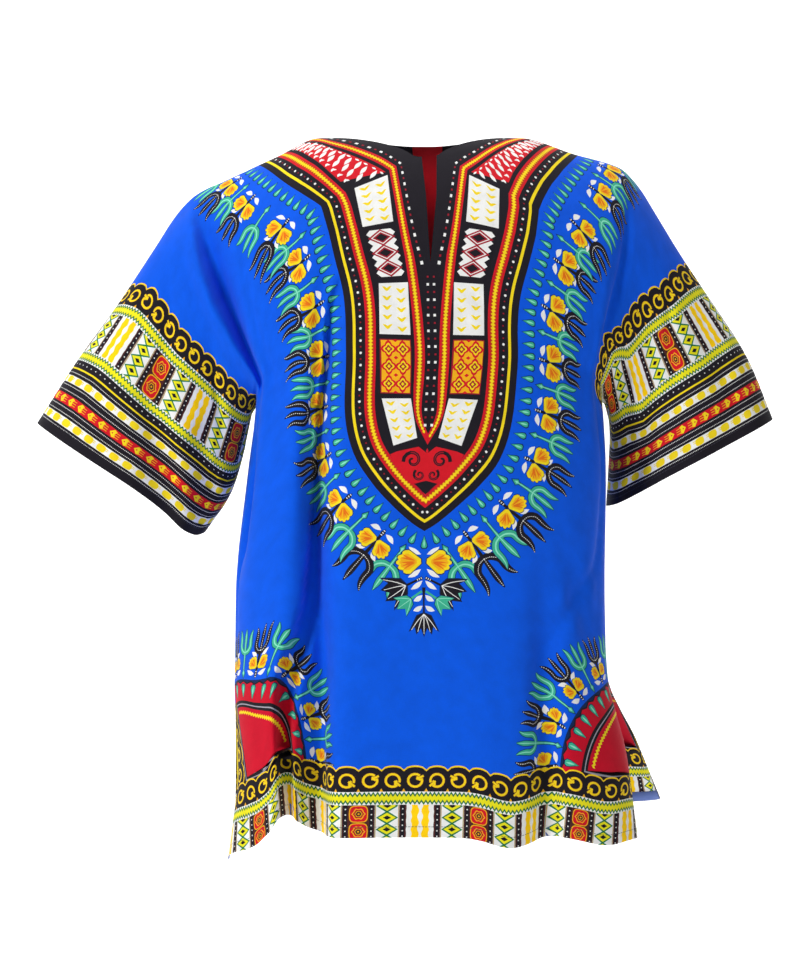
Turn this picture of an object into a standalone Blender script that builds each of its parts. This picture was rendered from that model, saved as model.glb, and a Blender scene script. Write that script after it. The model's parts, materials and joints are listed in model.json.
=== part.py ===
"""Dashiki shirt, filled out as when worn.

One length of printed cotton is folded over the shoulders, with a boat neck and
a V slit cut in it, and sewn along the sides and under the sleeves. It is modelled
as four walls of cloth: front, back and the two elbow-length sleeves, parted along
the shoulder fold, the side seams and the lines where the sleeves leave the body.
The front faces -Y, Z is up, and left and right are the wearer's, so the right
sleeve lies at -X. The origin is between the shoulders, at the neck.
"""
from math import pi

import bmesh
import bpy
import numpy as np
from mathutils import Vector

# Cloth, in metres
WALL = 0.0016
HEM_WALL = 0.0026
SEAM_GAP = 0.0003

# How finely each wall is divided
BODY_COLUMNS = 44
UPPER_ROWS = 13
LOWER_ROWS = 15
SLEEVE_COLUMNS = 9
CROWDED_SHARE = 0.45
CROWDED_WIDTH = 0.10
CROWDING = 1.6

# Shoulder fold from the middle of the neck to each sleeve line.
# Columns: share of the way out, x and z on the right, x and z on the left.
SHOULDER = {
    "share":   (0.00, 0.34, 0.52, 0.70, 0.80, 0.90, 1.00),
    "right_x": (0.000, -0.110, -0.160, -0.214, -0.243, -0.266, -0.286),
    "right_z": (-0.002, -0.001, -0.022, -0.047, -0.060, -0.082, -0.113),
    "left_x":  (0.000, 0.102, 0.160, 0.212, 0.232, 0.250, 0.268),
    "left_z":  (-0.002, -0.001, -0.018, -0.034, -0.054, -0.083, -0.114),
}
NECK_SHARE = 0.34

# Neck opening: how far down the front and the back it is cut at the middle,
# as a share of the way from the shoulder fold to the underarm row
NECK_FRONT = 0.30
NECK_BACK = 0.26
NAPE_RISE = 0.004

# V slit at the middle of the front
SLIT_ROWS = 8
SLIT_HALF_WIDTH = 0.0095
SLIT_SPREAD = 0.030

# Sections of the front and the back, from the underarm row down to the hem.
# Columns: drop is the share of the way down; z at the middle and at both edges;
# x of both edges; y of both edges; y at the middle.
FRONT_LEVELS = {
    "drop":    (0.00, 0.18, 0.42, 0.62, 0.82, 1.00),
    "middle":  (-0.245, -0.340, -0.458, -0.552, -0.650, -0.737),
    "right_z": (-0.290, -0.374, -0.484, -0.576, -0.676, -0.768),
    "left_z":  (-0.285, -0.370, -0.480, -0.570, -0.663, -0.748),
    "right_x": (-0.180, -0.191, -0.202, -0.203, -0.208, -0.219),
    "left_x":  (0.190, 0.194, 0.193, 0.195, 0.215, 0.225),
    "right_y": (-0.010, -0.010, -0.010, -0.010, -0.025, -0.045),
    "left_y":  (-0.015, -0.020, -0.015, -0.015, -0.032, -0.055),
    "depth":   (-0.126, -0.127, -0.122, -0.120, -0.124, -0.130),
}
BACK_LEVELS = {
    "drop":    (0.00, 0.18, 0.42, 0.62, 0.82, 1.00),
    "middle":  (-0.245, -0.340, -0.458, -0.552, -0.650, -0.737),
    "right_z": (-0.290, -0.374, -0.484, -0.576, -0.672, -0.756),
    "left_z":  (-0.285, -0.370, -0.480, -0.570, -0.655, -0.722),
    "right_x": (-0.180, -0.191, -0.202, -0.203, -0.204, -0.206),
    "left_x":  (0.190, 0.194, 0.193, 0.195, 0.233, 0.262),
    "right_y": (-0.010, -0.010, -0.010, -0.010, 0.010, 0.028),
    "left_y":  (-0.015, -0.020, -0.015, -0.015, 0.034, 0.060),
    "depth":   (0.112, 0.108, 0.106, 0.110, 0.118, 0.126),
}
# How the hem rises and dips along the front and the back. Columns: distance
# from the middle, how far it rises, half width.
FRONT_HEM = ((-0.150, 0.024, 0.020), (0.088, -0.011, 0.028), (0.190, -0.008, 0.030))
BACK_HEM = ((-0.104, 0.008, 0.030), (0.030, -0.006, 0.040), (0.130, 0.008, 0.030))
HEM_REACH = 0.16
FRONT_SQUARENESS = 2.7
BACK_SQUARENESS = 2.3

# Hanging folds of the body. Columns: z, distance along the section from the
# middle (right is negative), depth, half width, and how far the bottom of the
# fold leans sideways under one of its lips.
FRONT_FOLDS = {
    "right valley": (
        (-0.130, -0.100, 0.000, 0.012, 0.000),
        (-0.220, -0.106, 0.014, 0.013, -0.006),
        (-0.340, -0.114, 0.024, 0.015, -0.012),
        (-0.500, -0.117, 0.032, 0.018, -0.003),
        (-0.640, -0.118, 0.042, 0.020, 0.010),
        (-0.760, -0.122, 0.052, 0.022, 0.016),
    ),
    "left valley": (
        (-0.400, 0.124, 0.000, 0.016, 0.000),
        (-0.520, 0.124, 0.006, 0.016, 0.000),
        (-0.640, 0.123, 0.013, 0.017, 0.006),
        (-0.760, 0.122, 0.024, 0.018, 0.009),
    ),
    "right side hollow": (
        (-0.300, -0.215, 0.000, 0.018, 0.000),
        (-0.360, -0.222, 0.018, 0.018, 0.000),
        (-0.430, -0.228, 0.012, 0.018, 0.000),
        (-0.480, -0.230, 0.000, 0.018, 0.000),
    ),
    "left waist crease": (
        (-0.420, 0.148, 0.000, 0.012, 0.000),
        (-0.470, 0.160, 0.006, 0.012, 0.000),
        (-0.530, 0.186, 0.005, 0.012, 0.000),
        (-0.560, 0.200, 0.000, 0.012, 0.000),
    ),
}
BACK_FOLDS = {
    "right back fold": (
        (-0.250, -0.110, 0.000, 0.022, 0.000),
        (-0.450, -0.104, 0.014, 0.022, 0.000),
        (-0.760, -0.098, 0.030, 0.024, 0.010),
    ),
    "middle back fold": (
        (-0.420, 0.012, 0.000, 0.026, 0.000),
        (-0.760, 0.022, 0.014, 0.026, 0.000),
    ),
    "left back fold": (
        (-0.220, 0.104, 0.000, 0.020, 0.000),
        (-0.400, 0.112, 0.016, 0.021, 0.000),
        (-0.760, 0.126, 0.028, 0.024, -0.008),
    ),
}

# Sleeves: top and underside lines from the sleeve line to the cuff.
# Columns: share of the way out, x and z of the top, x, y and z of the underside,
# and how far the wall bulges to the front and to the back.
RIGHT_SLEEVE = {
    "share":  (0.00, 0.14, 0.33, 0.66, 1.00),
    "top_x":  (-0.286, -0.304, -0.329, -0.374, -0.417),
    "top_z":  (-0.113, -0.141, -0.179, -0.241, -0.308),
    "foot_x": (-0.180, -0.187, -0.193, -0.208, -0.236),
    "foot_y": (-0.010, -0.004, 0.004, 0.006, 0.006),
    "foot_z": (-0.290, -0.303, -0.333, -0.382, -0.424),
    "front":  (0.072, 0.071, 0.070, 0.070, 0.070),
    "back":   (0.074, 0.074, 0.074, 0.072, 0.068),
}
LEFT_SLEEVE = {
    "share":  (0.00, 0.14, 0.33, 0.66, 1.00),
    "top_x":  (0.268, 0.285, 0.309, 0.349, 0.376),
    "top_z":  (-0.114, -0.141, -0.176, -0.239, -0.304),
    "foot_x": (0.190, 0.202, 0.203, 0.202, 0.200),
    "foot_y": (-0.015, 0.008, 0.022, 0.034, 0.038),
    "foot_z": (-0.285, -0.296, -0.320, -0.358, -0.398),
    "front":  (0.072, 0.071, 0.070, 0.072, 0.074),
    "back":   (0.074, 0.073, 0.070, 0.062, 0.056),
}
# Where the cuff hangs lowest: how far round, how far down, half width
CUFF_DIP = {"right front": (0.80, 0.013, 0.13), "right back": (0.74, 0.006, 0.16),
            "left front": (0.80, 0.003, 0.13), "left back": (0.74, 0.005, 0.16)}
# Sleeve folds. Columns: how far round from the top to the underside the fold
# starts at the sleeve line and ends at the cuff, depth at both ends, half width.
SLEEVE_FOLDS = {
    "right front": ((0.22, 0.70, 0.010, 0.012, 0.060), (0.52, 0.86, 0.012, 0.008, 0.055)),
    "right back": ((0.30, 0.62, 0.008, 0.012, 0.070), (0.62, 0.84, 0.010, 0.006, 0.060)),
    "left front": ((0.40, 0.78, 0.012, 0.010, 0.060), (0.18, 0.36, 0.006, 0.006, 0.070)),
    "left back": ((0.28, 0.60, 0.008, 0.012, 0.070), (0.58, 0.82, 0.010, 0.006, 0.060)),
}
# Hollow under each arm, where the body turns into the sleeve
ARM_HOLLOW_DEPTH = 0.026
ARM_HOLLOW_WIDTH = 0.030
# Room left at the underarm corner, where front, back and sleeve meet
UNDERARM_EASE = 0.005
UNDERARM_SPREAD = 0.08
BLEND_COLUMNS = 4
BLEND_PASSES = 10

CLOTH_BLUE = (0.01, 0.11, 0.66, 1.0)
CLOTH_ROUGHNESS = 0.85


def follow(table, key, column, at):
    """Smooth curve through one column of a table, read at the given places."""
    knots = np.array(table[key])
    values = np.array(table[column])
    rates = np.diff(values) / np.diff(knots)
    ends = np.concatenate((rates[:1], rates, rates[-1:]))
    turning = ends[1:] * ends[:-1] <= 0
    total = np.where(turning, 1.0, ends[1:] + ends[:-1])
    slopes = np.where(turning, 0.0, 2 * ends[1:] * ends[:-1] / total)
    at = np.clip(at, knots[0], knots[-1])
    span = np.clip(np.searchsorted(knots, at, side="right") - 1, 0, len(knots) - 2)
    width = knots[span + 1] - knots[span]
    s = (at - knots[span]) / width
    return ((2 * s**3 - 3 * s**2 + 1) * values[span] + (s**3 - 2 * s**2 + s) * width * slopes[span]
            + (3 * s**2 - 2 * s**3) * values[span + 1] + (s**3 - s**2) * width * slopes[span + 1])


def two_sided(table, kind, share):
    """The right column where the share is negative, and the left one where it isn't."""
    right = follow(table, "share", "right_" + kind, np.abs(share))
    left = follow(table, "share", "left_" + kind, np.abs(share))
    return np.where(share < 0, right, left)


def section(levels, drop, share):
    """Points of one section of the body, evenly spaced by share from -1 to 1."""
    def level(column):
        return follow(levels, "drop", column, np.array(drop))
    turn = np.linspace(-pi / 2, pi / 2, 241)
    power = 2 / (FRONT_SQUARENESS if levels is FRONT_LEVELS else BACK_SQUARENESS)
    out = np.sign(turn) * np.abs(np.sin(turn)) ** power
    forward = np.abs(np.cos(turn)) ** power
    edge_y = np.where(turn < 0, level("right_y"), level("left_y"))
    edge_z = np.where(turn < 0, level("right_z"), level("left_z"))
    middle_x = 0.5 * (level("right_x") + level("left_x"))
    half = 0.5 * (level("left_x") - level("right_x"))
    x = middle_x + half * out
    y = edge_y + (level("depth") - edge_y) * forward
    z = edge_z + (level("middle") - edge_z) * forward
    steps = np.hypot(np.diff(x), np.diff(y))
    length = np.concatenate(([0.0], np.cumsum(steps)))
    wanted = (share + 1) / 2 * length[-1]
    return np.stack([np.interp(wanted, length, part) for part in (x, y, z)], axis=-1)


def body_points(side, share, fall):
    """One row of the body. fall runs from 0 at the shoulder fold to 1 at the
    underarm row and 2 at the hem; a row may have its own fall at each point."""
    levels = FRONT_LEVELS if side < 0 else BACK_LEVELS
    lower = section(levels, max(float(np.max(fall)) - 1, 0.0), share)
    if np.max(fall) > 1:
        return lower
    ridge_x = two_sided(SHOULDER, "x", share)
    ridge_z = two_sided(SHOULDER, "z", share)
    outward = np.abs(share) ** 3
    drop = 1 - np.cos(pi / 2 * fall)
    reach = np.sin(pi / 2 * fall)
    if side > 0:
        drop = 1 - (1 - reach ** 3.2) ** (1 / 2.2)
        ridge_z = ridge_z + NAPE_RISE * np.clip(1 - np.abs(share) / NECK_SHARE, 0, 1)
    round_drop = (1 - np.cos(pi * fall)) / 2
    down = drop * (1 - outward) + round_drop * outward
    bulge = side * 0.073 * np.sin(pi * fall) * outward
    x = ridge_x + (lower[:, 0] - ridge_x) * down
    y = lower[:, 1] * (reach * (1 - outward) + round_drop * outward) + bulge
    z = ridge_z + (lower[:, 2] - ridge_z) * down
    return np.stack([x, y, z], axis=-1)


def neck_fall(side, share):
    """How far down each column starts, because the neck is cut out of the cloth."""
    inside = np.clip(1 - np.abs(share) / NECK_SHARE, 0, 1)
    if side < 0:
        return NECK_FRONT * inside
    return NECK_BACK * np.sin(pi / 2 * inside)


def add_folds(rows, folds, hem, side):
    """Push the hanging folds into the wall, each on its own path down the body."""
    shaped = rows.copy()
    for r, row in enumerate(rows):
        steps = np.hypot(np.diff(row[:, 0]), np.diff(row[:, 1]))
        along = np.concatenate(([0.0], np.cumsum(steps)))
        along -= np.interp(0.0, row[:, 0], along)
        tangent = np.gradient(row[:, :2], axis=0)
        tangent /= np.linalg.norm(tangent, axis=1, keepdims=True)
        inward = side * np.stack([tangent[:, 1], -tangent[:, 0]], axis=-1)
        for rows_of_fold in folds.values():
            path = np.array(rows_of_fold)[::-1]
            height = row[:, 2]
            place, depth, half, lean = (np.interp(height, path[:, 0], path[:, k]) for k in range(1, 5))
            depth = np.where(height > path[-1, 0], 0.0, depth)
            dent = np.exp(-((along - place) / half) ** 2)
            shaped[r, :, :2] += inward * (depth * dent)[:, None]
            shaped[r, :, :2] += tangent * (lean * dent * (depth > 0))[:, None]
        above_hem = row[:, 2] - rows[-1, :, 2]
        for place, rise, half in hem:
            wave = rise * np.exp(-((along - place) / half) ** 2)
            shaped[r, :, 2] += wave * np.exp(-(above_hem / HEM_REACH) ** 2)
    return shaped


def sleeve_points(table, side, out, fall):
    """Points of one sleeve column, from its top round to its underside."""
    def line(column):
        return float(follow(table, "share", column, np.array(out)))
    round_drop = (1 - np.cos(pi * fall)) / 2
    bulge = line("front") if side < 0 else line("back")
    x = line("top_x") + (line("foot_x") - line("top_x")) * round_drop
    y = line("foot_y") * round_drop + side * bulge * np.sin(pi * fall)
    z = line("top_z") + (line("foot_z") - line("top_z")) * round_drop
    return np.stack([x, y, z], axis=-1)


def body_shares():
    """Where the columns of the body lie, closer together at the two deep folds."""
    fine = np.linspace(-1, 1, 801)
    density = 1 + CROWDING * np.exp(-((np.abs(fine) - CROWDED_SHARE) / CROWDED_WIDTH) ** 2)
    steps = 0.5 * (density[1:] + density[:-1])
    count = np.concatenate(([0.0], np.cumsum(steps)))
    return np.interp(np.linspace(0, count[-1], BODY_COLUMNS + 1), count, fine)


def soften_arm_lines(rows, side):
    """Sink the hollow in front of and behind each arm, and round the wall there."""
    fall = np.linspace(0, 1, UPPER_ROWS + 1)[:, None]
    hold = np.sqrt(np.sin(pi * fall).clip(0, 1))[:, :, None]
    for line in (SLEEVE_COLUMNS, SLEEVE_COLUMNS + BODY_COLUMNS):
        steps = np.linalg.norm(np.diff(rows, axis=1), axis=2)
        along = np.concatenate([np.zeros((len(rows), 1)), np.cumsum(steps, axis=1)], axis=1)
        away = (along - along[:, line:line + 1]) / ARM_HOLLOW_WIDTH
        strength = ARM_HOLLOW_DEPTH * np.sin(pi * fall) * np.clip(fall * 1.6, 0, 1)
        rows[:, :, 1] -= side * strength * np.exp(-away ** 2)
        for spread in range(BLEND_PASSES):
            low, high = line - BLEND_COLUMNS, line + BLEND_COLUMNS + 1
            mean = 0.5 * (rows[:, low - 1:high - 1] + rows[:, low + 1:high + 1])
            rows[:, low:high] += 0.5 * hold * (mean - rows[:, low:high])
    return rows


def half_garment(side):
    """Front or back: upper rows from cuff to cuff, and the lower rows of the body."""
    share = body_shares()
    start = neck_fall(side, share)
    levels = FRONT_LEVELS if side < 0 else BACK_LEVELS
    upper = [body_points(side, share, start + (1 - start) * step)
             for step in np.linspace(0, 1, UPPER_ROWS + 1)]
    lower = [section(levels, drop, share) for drop in np.linspace(0, 1, LOWER_ROWS + 1)]
    folds, hem = (FRONT_FOLDS, FRONT_HEM) if side < 0 else (BACK_FOLDS, BACK_HEM)
    body = add_folds(np.array(upper + lower[1:]), folds, hem, side)
    fall = np.linspace(0, 1, UPPER_ROWS + 1)
    arms = []
    for name, table in (("right", RIGHT_SLEEVE), ("left", LEFT_SLEEVE)):
        folds = SLEEVE_FOLDS[name + (" front" if side < 0 else " back")]
        wall = []
        for out in np.linspace(0, 1, SLEEVE_COLUMNS + 1):
            column = sleeve_points(table, side, out, fall)
            for first, last, shallow, deep, half in folds:
                dent = np.exp(-((fall - first - (last - first) * out) / half) ** 2)
                column[:, 1] -= side * dent * (shallow + (deep - shallow) * out) * min(3 * out, 1)
            place, dip, half = CUFF_DIP[name + (" front" if side < 0 else " back")]
            column[:, 2] -= dip * out ** 2 * np.exp(-((fall - place) / half) ** 2)
            wall.append(column)
        arms.append(np.array(wall).transpose(1, 0, 2))
    right, left = arms
    upper = np.concatenate([right[:, :0:-1], body[:UPPER_ROWS + 1], left[:, 1:]], axis=1)
    return soften_arm_lines(upper, side), body[UPPER_ROWS:]


def facing_of(grid, side):
    """Directions square to a grid of points, out of the garment."""
    facing = -side * np.cross(np.gradient(grid, axis=0), np.gradient(grid, axis=1))
    return facing / np.linalg.norm(facing, axis=2, keepdims=True)


def share_facing(front, back):
    """Give both sides of a seam the direction halfway between theirs."""
    both = front + back
    both /= np.linalg.norm(both, axis=-1, keepdims=True)
    front[:] = both
    back[:] = both


def draw_back(edge, inner, room=SEAM_GAP / 2):
    """Draw an edge towards the next line of points by half the seam gap."""
    away = inner - edge
    edge += room * away / np.linalg.norm(away, axis=-1, keepdims=True)


def quads(numbers, wrap=False):
    """Faces between the rows and columns of a grid of point numbers."""
    faces = []
    for r in range(len(numbers) if wrap else len(numbers) - 1):
        upper, lower = numbers[r], numbers[(r + 1) % len(numbers)]
        for c in range(len(upper) - 1):
            faces.append((upper[c], lower[c], lower[c + 1], upper[c + 1]))
    return faces


def inner_depth(shape, hems):
    """How far in the inner face lies: deeper where a hem is turned up."""
    depth = np.full(shape, WALL / 2)
    for hem in hems:
        depth[hem] = HEM_WALL - WALL / 2
    return depth


def cloth(name, points, facing, depth, faces):
    """A closed wall of cloth: the outer face, and the inner one extruded from it."""
    mesh = bmesh.new()
    spot = mesh.verts.layers.int.new("spot")
    corners = {}
    for face in faces:
        for number in face:
            if number not in corners:
                corners[number] = mesh.verts.new(points[number] + facing[number] * WALL / 2)
                corners[number][spot] = number
        mesh.faces.new([corners[number] for number in face])
    lining = bmesh.ops.extrude_face_region(mesh, geom=mesh.faces[:])
    for corner in lining["geom"]:
        if isinstance(corner, bmesh.types.BMVert):
            number = corner[spot]
            corner.co = Vector(points[number] - facing[number] * depth[number])
    bmesh.ops.recalc_face_normals(mesh, faces=mesh.faces[:])
    if mesh.calc_volume(signed=True) < 0:
        bmesh.ops.reverse_faces(mesh, faces=mesh.faces[:])
    data = bpy.data.meshes.new(name)
    mesh.to_mesh(data)
    mesh.free()
    data.shade_smooth()
    data.materials.append(cotton(name))
    bpy.context.scene.collection.objects.link(bpy.data.objects.new(name, data))


def cotton(name):
    """Blue printed cotton; the print itself isn't part of the form."""
    finish = bpy.data.materials.new(name + "_cotton")
    finish.use_nodes = True
    shader = finish.node_tree.nodes["Principled BSDF"]
    shader.inputs["Base Color"].default_value = CLOTH_BLUE
    shader.inputs["Roughness"].default_value = CLOTH_ROUGHNESS
    shader.inputs["Metallic"].default_value = 0.0
    return finish


def body_panel(name, grid, facing, slit_rows):
    """Front or back of the body; slit_rows above zero parts its middle at the neck."""
    rows, columns = grid.shape[:2]
    middle = columns // 2
    right = grid[:, :middle + 1].copy()
    left = grid[:, middle:].copy()
    for r in range(slit_rows):
        half = SLIT_HALF_WIDTH * (1 - (r / slit_rows) ** 3)
        for part, way in ((right, -1), (left, 1)):
            from_slit = part[r, :, 0] - grid[r, middle, 0]
            part[r, :, 0] += way * half * np.exp(-(from_slit / SLIT_SPREAD) ** 2)
    right_numbers = np.arange(rows * (middle + 1)).reshape(rows, middle + 1)
    left_numbers = right_numbers + right_numbers.size
    left_numbers[slit_rows:, 0] = right_numbers[slit_rows:, -1]
    points = np.concatenate([right.reshape(-1, 3), left.reshape(-1, 3)])
    out = np.concatenate([facing[:, :middle + 1].reshape(-1, 3), facing[:, middle:].reshape(-1, 3)])
    depth = inner_depth((rows, middle + 1), [np.s_[-1]])
    depth = np.concatenate([depth.reshape(-1), depth.reshape(-1)])
    cloth(name, points, out, depth, quads(right_numbers) + quads(left_numbers))


for old in list(bpy.data.objects):
    bpy.data.objects.remove(old)

# Both halves of the garment, with shared directions where they are sewn together
BODY = slice(SLEEVE_COLUMNS, SLEEVE_COLUMNS + BODY_COLUMNS + 1)
upper, body, upper_facing, body_facing = {}, {}, {}, {}
for side in (-1, 1):
    upper[side], lower = half_garment(side)
    body[side] = np.concatenate([upper[side][:, BODY], lower[1:]])
    upper_facing[side] = facing_of(upper[side], side)
    body_facing[side] = facing_of(body[side], side)
sewn = np.abs(body_shares()) >= NECK_SHARE
ridge = np.ones(upper[-1].shape[1], dtype=bool)
ridge[BODY] = sewn
front_ridge, back_ridge = upper_facing[-1][0, ridge], upper_facing[1][0, ridge]
share_facing(front_ridge, back_ridge)
upper_facing[-1][0, ridge], upper_facing[1][0, ridge] = front_ridge, back_ridge
share_facing(upper_facing[-1][-1], upper_facing[1][-1])
for edge in (0, -1):
    share_facing(body_facing[-1][UPPER_ROWS:, edge], body_facing[1][UPPER_ROWS:, edge])
for side in (-1, 1):
    body_facing[side][0] = upper_facing[side][0, BODY]
    body_facing[side][:UPPER_ROWS, 0] = upper_facing[side][:UPPER_ROWS, SLEEVE_COLUMNS]
    body_facing[side][:UPPER_ROWS, -1] = upper_facing[side][:UPPER_ROWS, -1 - SLEEVE_COLUMNS]

# Sleeves: each a tube, front wall down and back wall up again
for name, columns in (("sleeve_right", np.s_[SLEEVE_COLUMNS::-1]),
                      ("sleeve_left", np.s_[-1 - SLEEVE_COLUMNS:])):
    tube = np.concatenate([upper[-1][:, columns], upper[1][-2:0:-1, columns]])
    out = np.concatenate([upper_facing[-1][:, columns], upper_facing[1][-2:0:-1, columns]])
    round_it = np.linspace(0, 2, len(tube), endpoint=False)
    at_underarm = np.exp(-((round_it - 1) / UNDERARM_SPREAD) ** 2)[:, None]
    draw_back(tube[:, 0], tube[:, 1], SEAM_GAP / 2 + UNDERARM_EASE * at_underarm)
    numbers = np.arange(tube.shape[0] * tube.shape[1]).reshape(tube.shape[:2])
    depth = inner_depth(tube.shape[:2], [np.s_[:, -1]])
    cloth(name, tube.reshape(-1, 3), out.reshape(-1, 3), depth.reshape(-1), quads(numbers, wrap=True))

# Front and back of the body
for name, side, slit_rows in (("front", -1, SLIT_ROWS), ("back", 1, 0)):
    panel = body[side].copy()
    panel[0, sewn, 1] += side * SEAM_GAP / 2
    draw_back(panel[:UPPER_ROWS, 0], panel[:UPPER_ROWS, 1].copy())
    draw_back(panel[:UPPER_ROWS, -1], panel[:UPPER_ROWS, -2].copy())
    panel[UPPER_ROWS:, 0, 1] += side * SEAM_GAP / 2
    panel[UPPER_ROWS:, -1, 1] += side * SEAM_GAP / 2
    body_panel(name, panel, body_facing[side], slit_rows)
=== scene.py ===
import json
from math import pi

import bmesh
import bpy
import numpy as np
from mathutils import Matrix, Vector
from mathutils.bvhtree import BVHTree
from mathutils.geometry import delaunay_2d_cdt

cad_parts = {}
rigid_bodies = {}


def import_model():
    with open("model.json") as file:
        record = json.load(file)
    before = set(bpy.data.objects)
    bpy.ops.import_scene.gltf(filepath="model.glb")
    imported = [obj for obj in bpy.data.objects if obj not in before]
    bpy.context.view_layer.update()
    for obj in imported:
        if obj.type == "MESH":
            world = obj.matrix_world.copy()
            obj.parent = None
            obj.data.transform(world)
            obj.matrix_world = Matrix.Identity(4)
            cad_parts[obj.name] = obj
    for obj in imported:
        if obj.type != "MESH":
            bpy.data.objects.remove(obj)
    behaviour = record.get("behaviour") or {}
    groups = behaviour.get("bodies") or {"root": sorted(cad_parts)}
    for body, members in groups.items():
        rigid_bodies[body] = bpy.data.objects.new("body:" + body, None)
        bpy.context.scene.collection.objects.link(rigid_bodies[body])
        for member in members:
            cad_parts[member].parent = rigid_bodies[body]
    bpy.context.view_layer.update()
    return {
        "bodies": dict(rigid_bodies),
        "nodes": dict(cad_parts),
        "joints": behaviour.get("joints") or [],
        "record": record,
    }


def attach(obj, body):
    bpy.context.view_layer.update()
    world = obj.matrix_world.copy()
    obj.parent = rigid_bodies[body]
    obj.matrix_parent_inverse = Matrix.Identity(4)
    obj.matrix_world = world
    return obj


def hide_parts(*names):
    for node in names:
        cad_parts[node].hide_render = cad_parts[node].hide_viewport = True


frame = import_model()

# The camera stands level at half the shirt's height, at the photo's distance
camera = bpy.data.cameras.new("camera")
camera.lens, camera.sensor_width, camera.sensor_fit = 108.33, 36.0, "HORIZONTAL"
viewer = bpy.data.objects.new("camera", camera)
viewer.location, viewer.rotation_euler = (-0.0259, -2.6, -0.370), (pi / 2, 0, 0)
bpy.context.collection.objects.link(viewer)
bpy.context.scene.camera = viewer

bpy.context.scene.view_settings.view_transform = "Standard"

# A pale floor that curves up behind the shirt, well below its hem
floor_line = [(-4.0, -1.40), (1.2, -1.40), (1.7, -1.33), (2.05, -1.12), (2.2, -0.80), (2.25, 2.4)]
sweep = bmesh.new()
profile = [sweep.verts.new((-5.0, y, z)) for y, z in floor_line]
edges = [sweep.edges.new(pair) for pair in zip(profile, profile[1:])]
far_side = bmesh.ops.extrude_edge_only(sweep, edges=edges)
bmesh.ops.translate(sweep, verts=[v for v in far_side["geom"] if isinstance(v, bmesh.types.BMVert)],
                    vec=(10.0, 0, 0))
bmesh.ops.recalc_face_normals(sweep, faces=sweep.faces)
for face in sweep.faces:
    face.smooth = True
floor_mesh = bpy.data.meshes.new("floor")
sweep.to_mesh(floor_mesh)
sweep.free()
floor = bpy.data.objects.new("floor", floor_mesh)
bpy.context.collection.objects.link(floor)
paper = bpy.data.materials.new("white_paper")
paper.use_nodes = True
paper.node_tree.nodes["Principled BSDF"].inputs["Base Color"].default_value = (0.9, 0.9, 0.9, 1)
paper.node_tree.nodes["Principled BSDF"].inputs["Roughness"].default_value = 0.9
paper.node_tree.nodes["Principled BSDF"].inputs["Emission Color"].default_value = (1, 1, 1, 1)
paper.node_tree.nodes["Principled BSDF"].inputs["Emission Strength"].default_value = 0.5
floor_mesh.materials.append(paper)

# Soft studio light: a large one from the upper left, one from the right, and a white room
for name, place, aim, power, size in (("key", (-2.3, -2.2, 1.2), (0, 0, -0.35), 84, 1.0),
                                      ("fill", (2.4, -2.3, 0.4), (0, 0, -0.4), 6, 2.2),
                                      ("backdrop_light", (0, 0.4, 2.2), (0, 2.2, -0.4), 60, 2.4)):
    lamp = bpy.data.lights.new(name, "AREA")
    lamp.energy, lamp.size = power, size
    light = bpy.data.objects.new(name, lamp)
    light.location = place
    light.rotation_euler = (Vector(aim) - Vector(place)).to_track_quat("-Z", "Y").to_euler()
    bpy.context.collection.objects.link(light)
room = bpy.data.worlds.new("room")
room.use_nodes = True
room.node_tree.nodes["Background"].inputs["Color"].default_value = (0.95, 0.97, 1.0, 1)
room.node_tree.nodes["Background"].inputs["Strength"].default_value = 0.15
bpy.context.scene.world = room


# The cloth. One length of printed cotton, about 1.15 m wide, is folded over the
# shoulders, cut kimono-fashion and sewn along the sides and under the sleeves.
# Its hanging form repeats the tables that shape the CAD walls, in metres.
# How finely each wall is divided
BODY_COLUMNS = 44
UPPER_ROWS = 13
LOWER_ROWS = 15
SLEEVE_COLUMNS = 9
CROWDED_SHARE = 0.45
CROWDED_WIDTH = 0.10
CROWDING = 1.6

# Shoulder fold from the middle of the neck to each sleeve line.
# Columns: share of the way out, x and z on the right, x and z on the left.
SHOULDER = {
    "share":   (0.00, 0.34, 0.52, 0.70, 0.80, 0.90, 1.00),
    "right_x": (0.000, -0.110, -0.160, -0.214, -0.243, -0.266, -0.286),
    "right_z": (-0.002, -0.001, -0.022, -0.047, -0.060, -0.082, -0.113),
    "left_x":  (0.000, 0.102, 0.160, 0.212, 0.232, 0.250, 0.268),
    "left_z":  (-0.002, -0.001, -0.018, -0.034, -0.054, -0.083, -0.114),
}
NECK_SHARE = 0.34

# Neck opening: how far down the front and the back it is cut at the middle,
# as a share of the way from the shoulder fold to the underarm row
NECK_FRONT = 0.30
NECK_BACK = 0.26
NAPE_RISE = 0.004

# Sections of the front and the back, from the underarm row down to the hem.
# Columns: drop is the share of the way down; z at the middle and at both edges;
# x of both edges; y of both edges; y at the middle.
FRONT_LEVELS = {
    "drop":    (0.00, 0.18, 0.42, 0.62, 0.82, 1.00),
    "middle":  (-0.245, -0.340, -0.458, -0.552, -0.650, -0.737),
    "right_z": (-0.290, -0.374, -0.484, -0.576, -0.676, -0.768),
    "left_z":  (-0.285, -0.370, -0.480, -0.570, -0.663, -0.748),
    "right_x": (-0.180, -0.191, -0.202, -0.203, -0.208, -0.219),
    "left_x":  (0.190, 0.194, 0.193, 0.195, 0.215, 0.225),
    "right_y": (-0.010, -0.010, -0.010, -0.010, -0.025, -0.045),
    "left_y":  (-0.015, -0.020, -0.015, -0.015, -0.032, -0.055),
    "depth":   (-0.126, -0.127, -0.122, -0.120, -0.124, -0.130),
}
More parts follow.
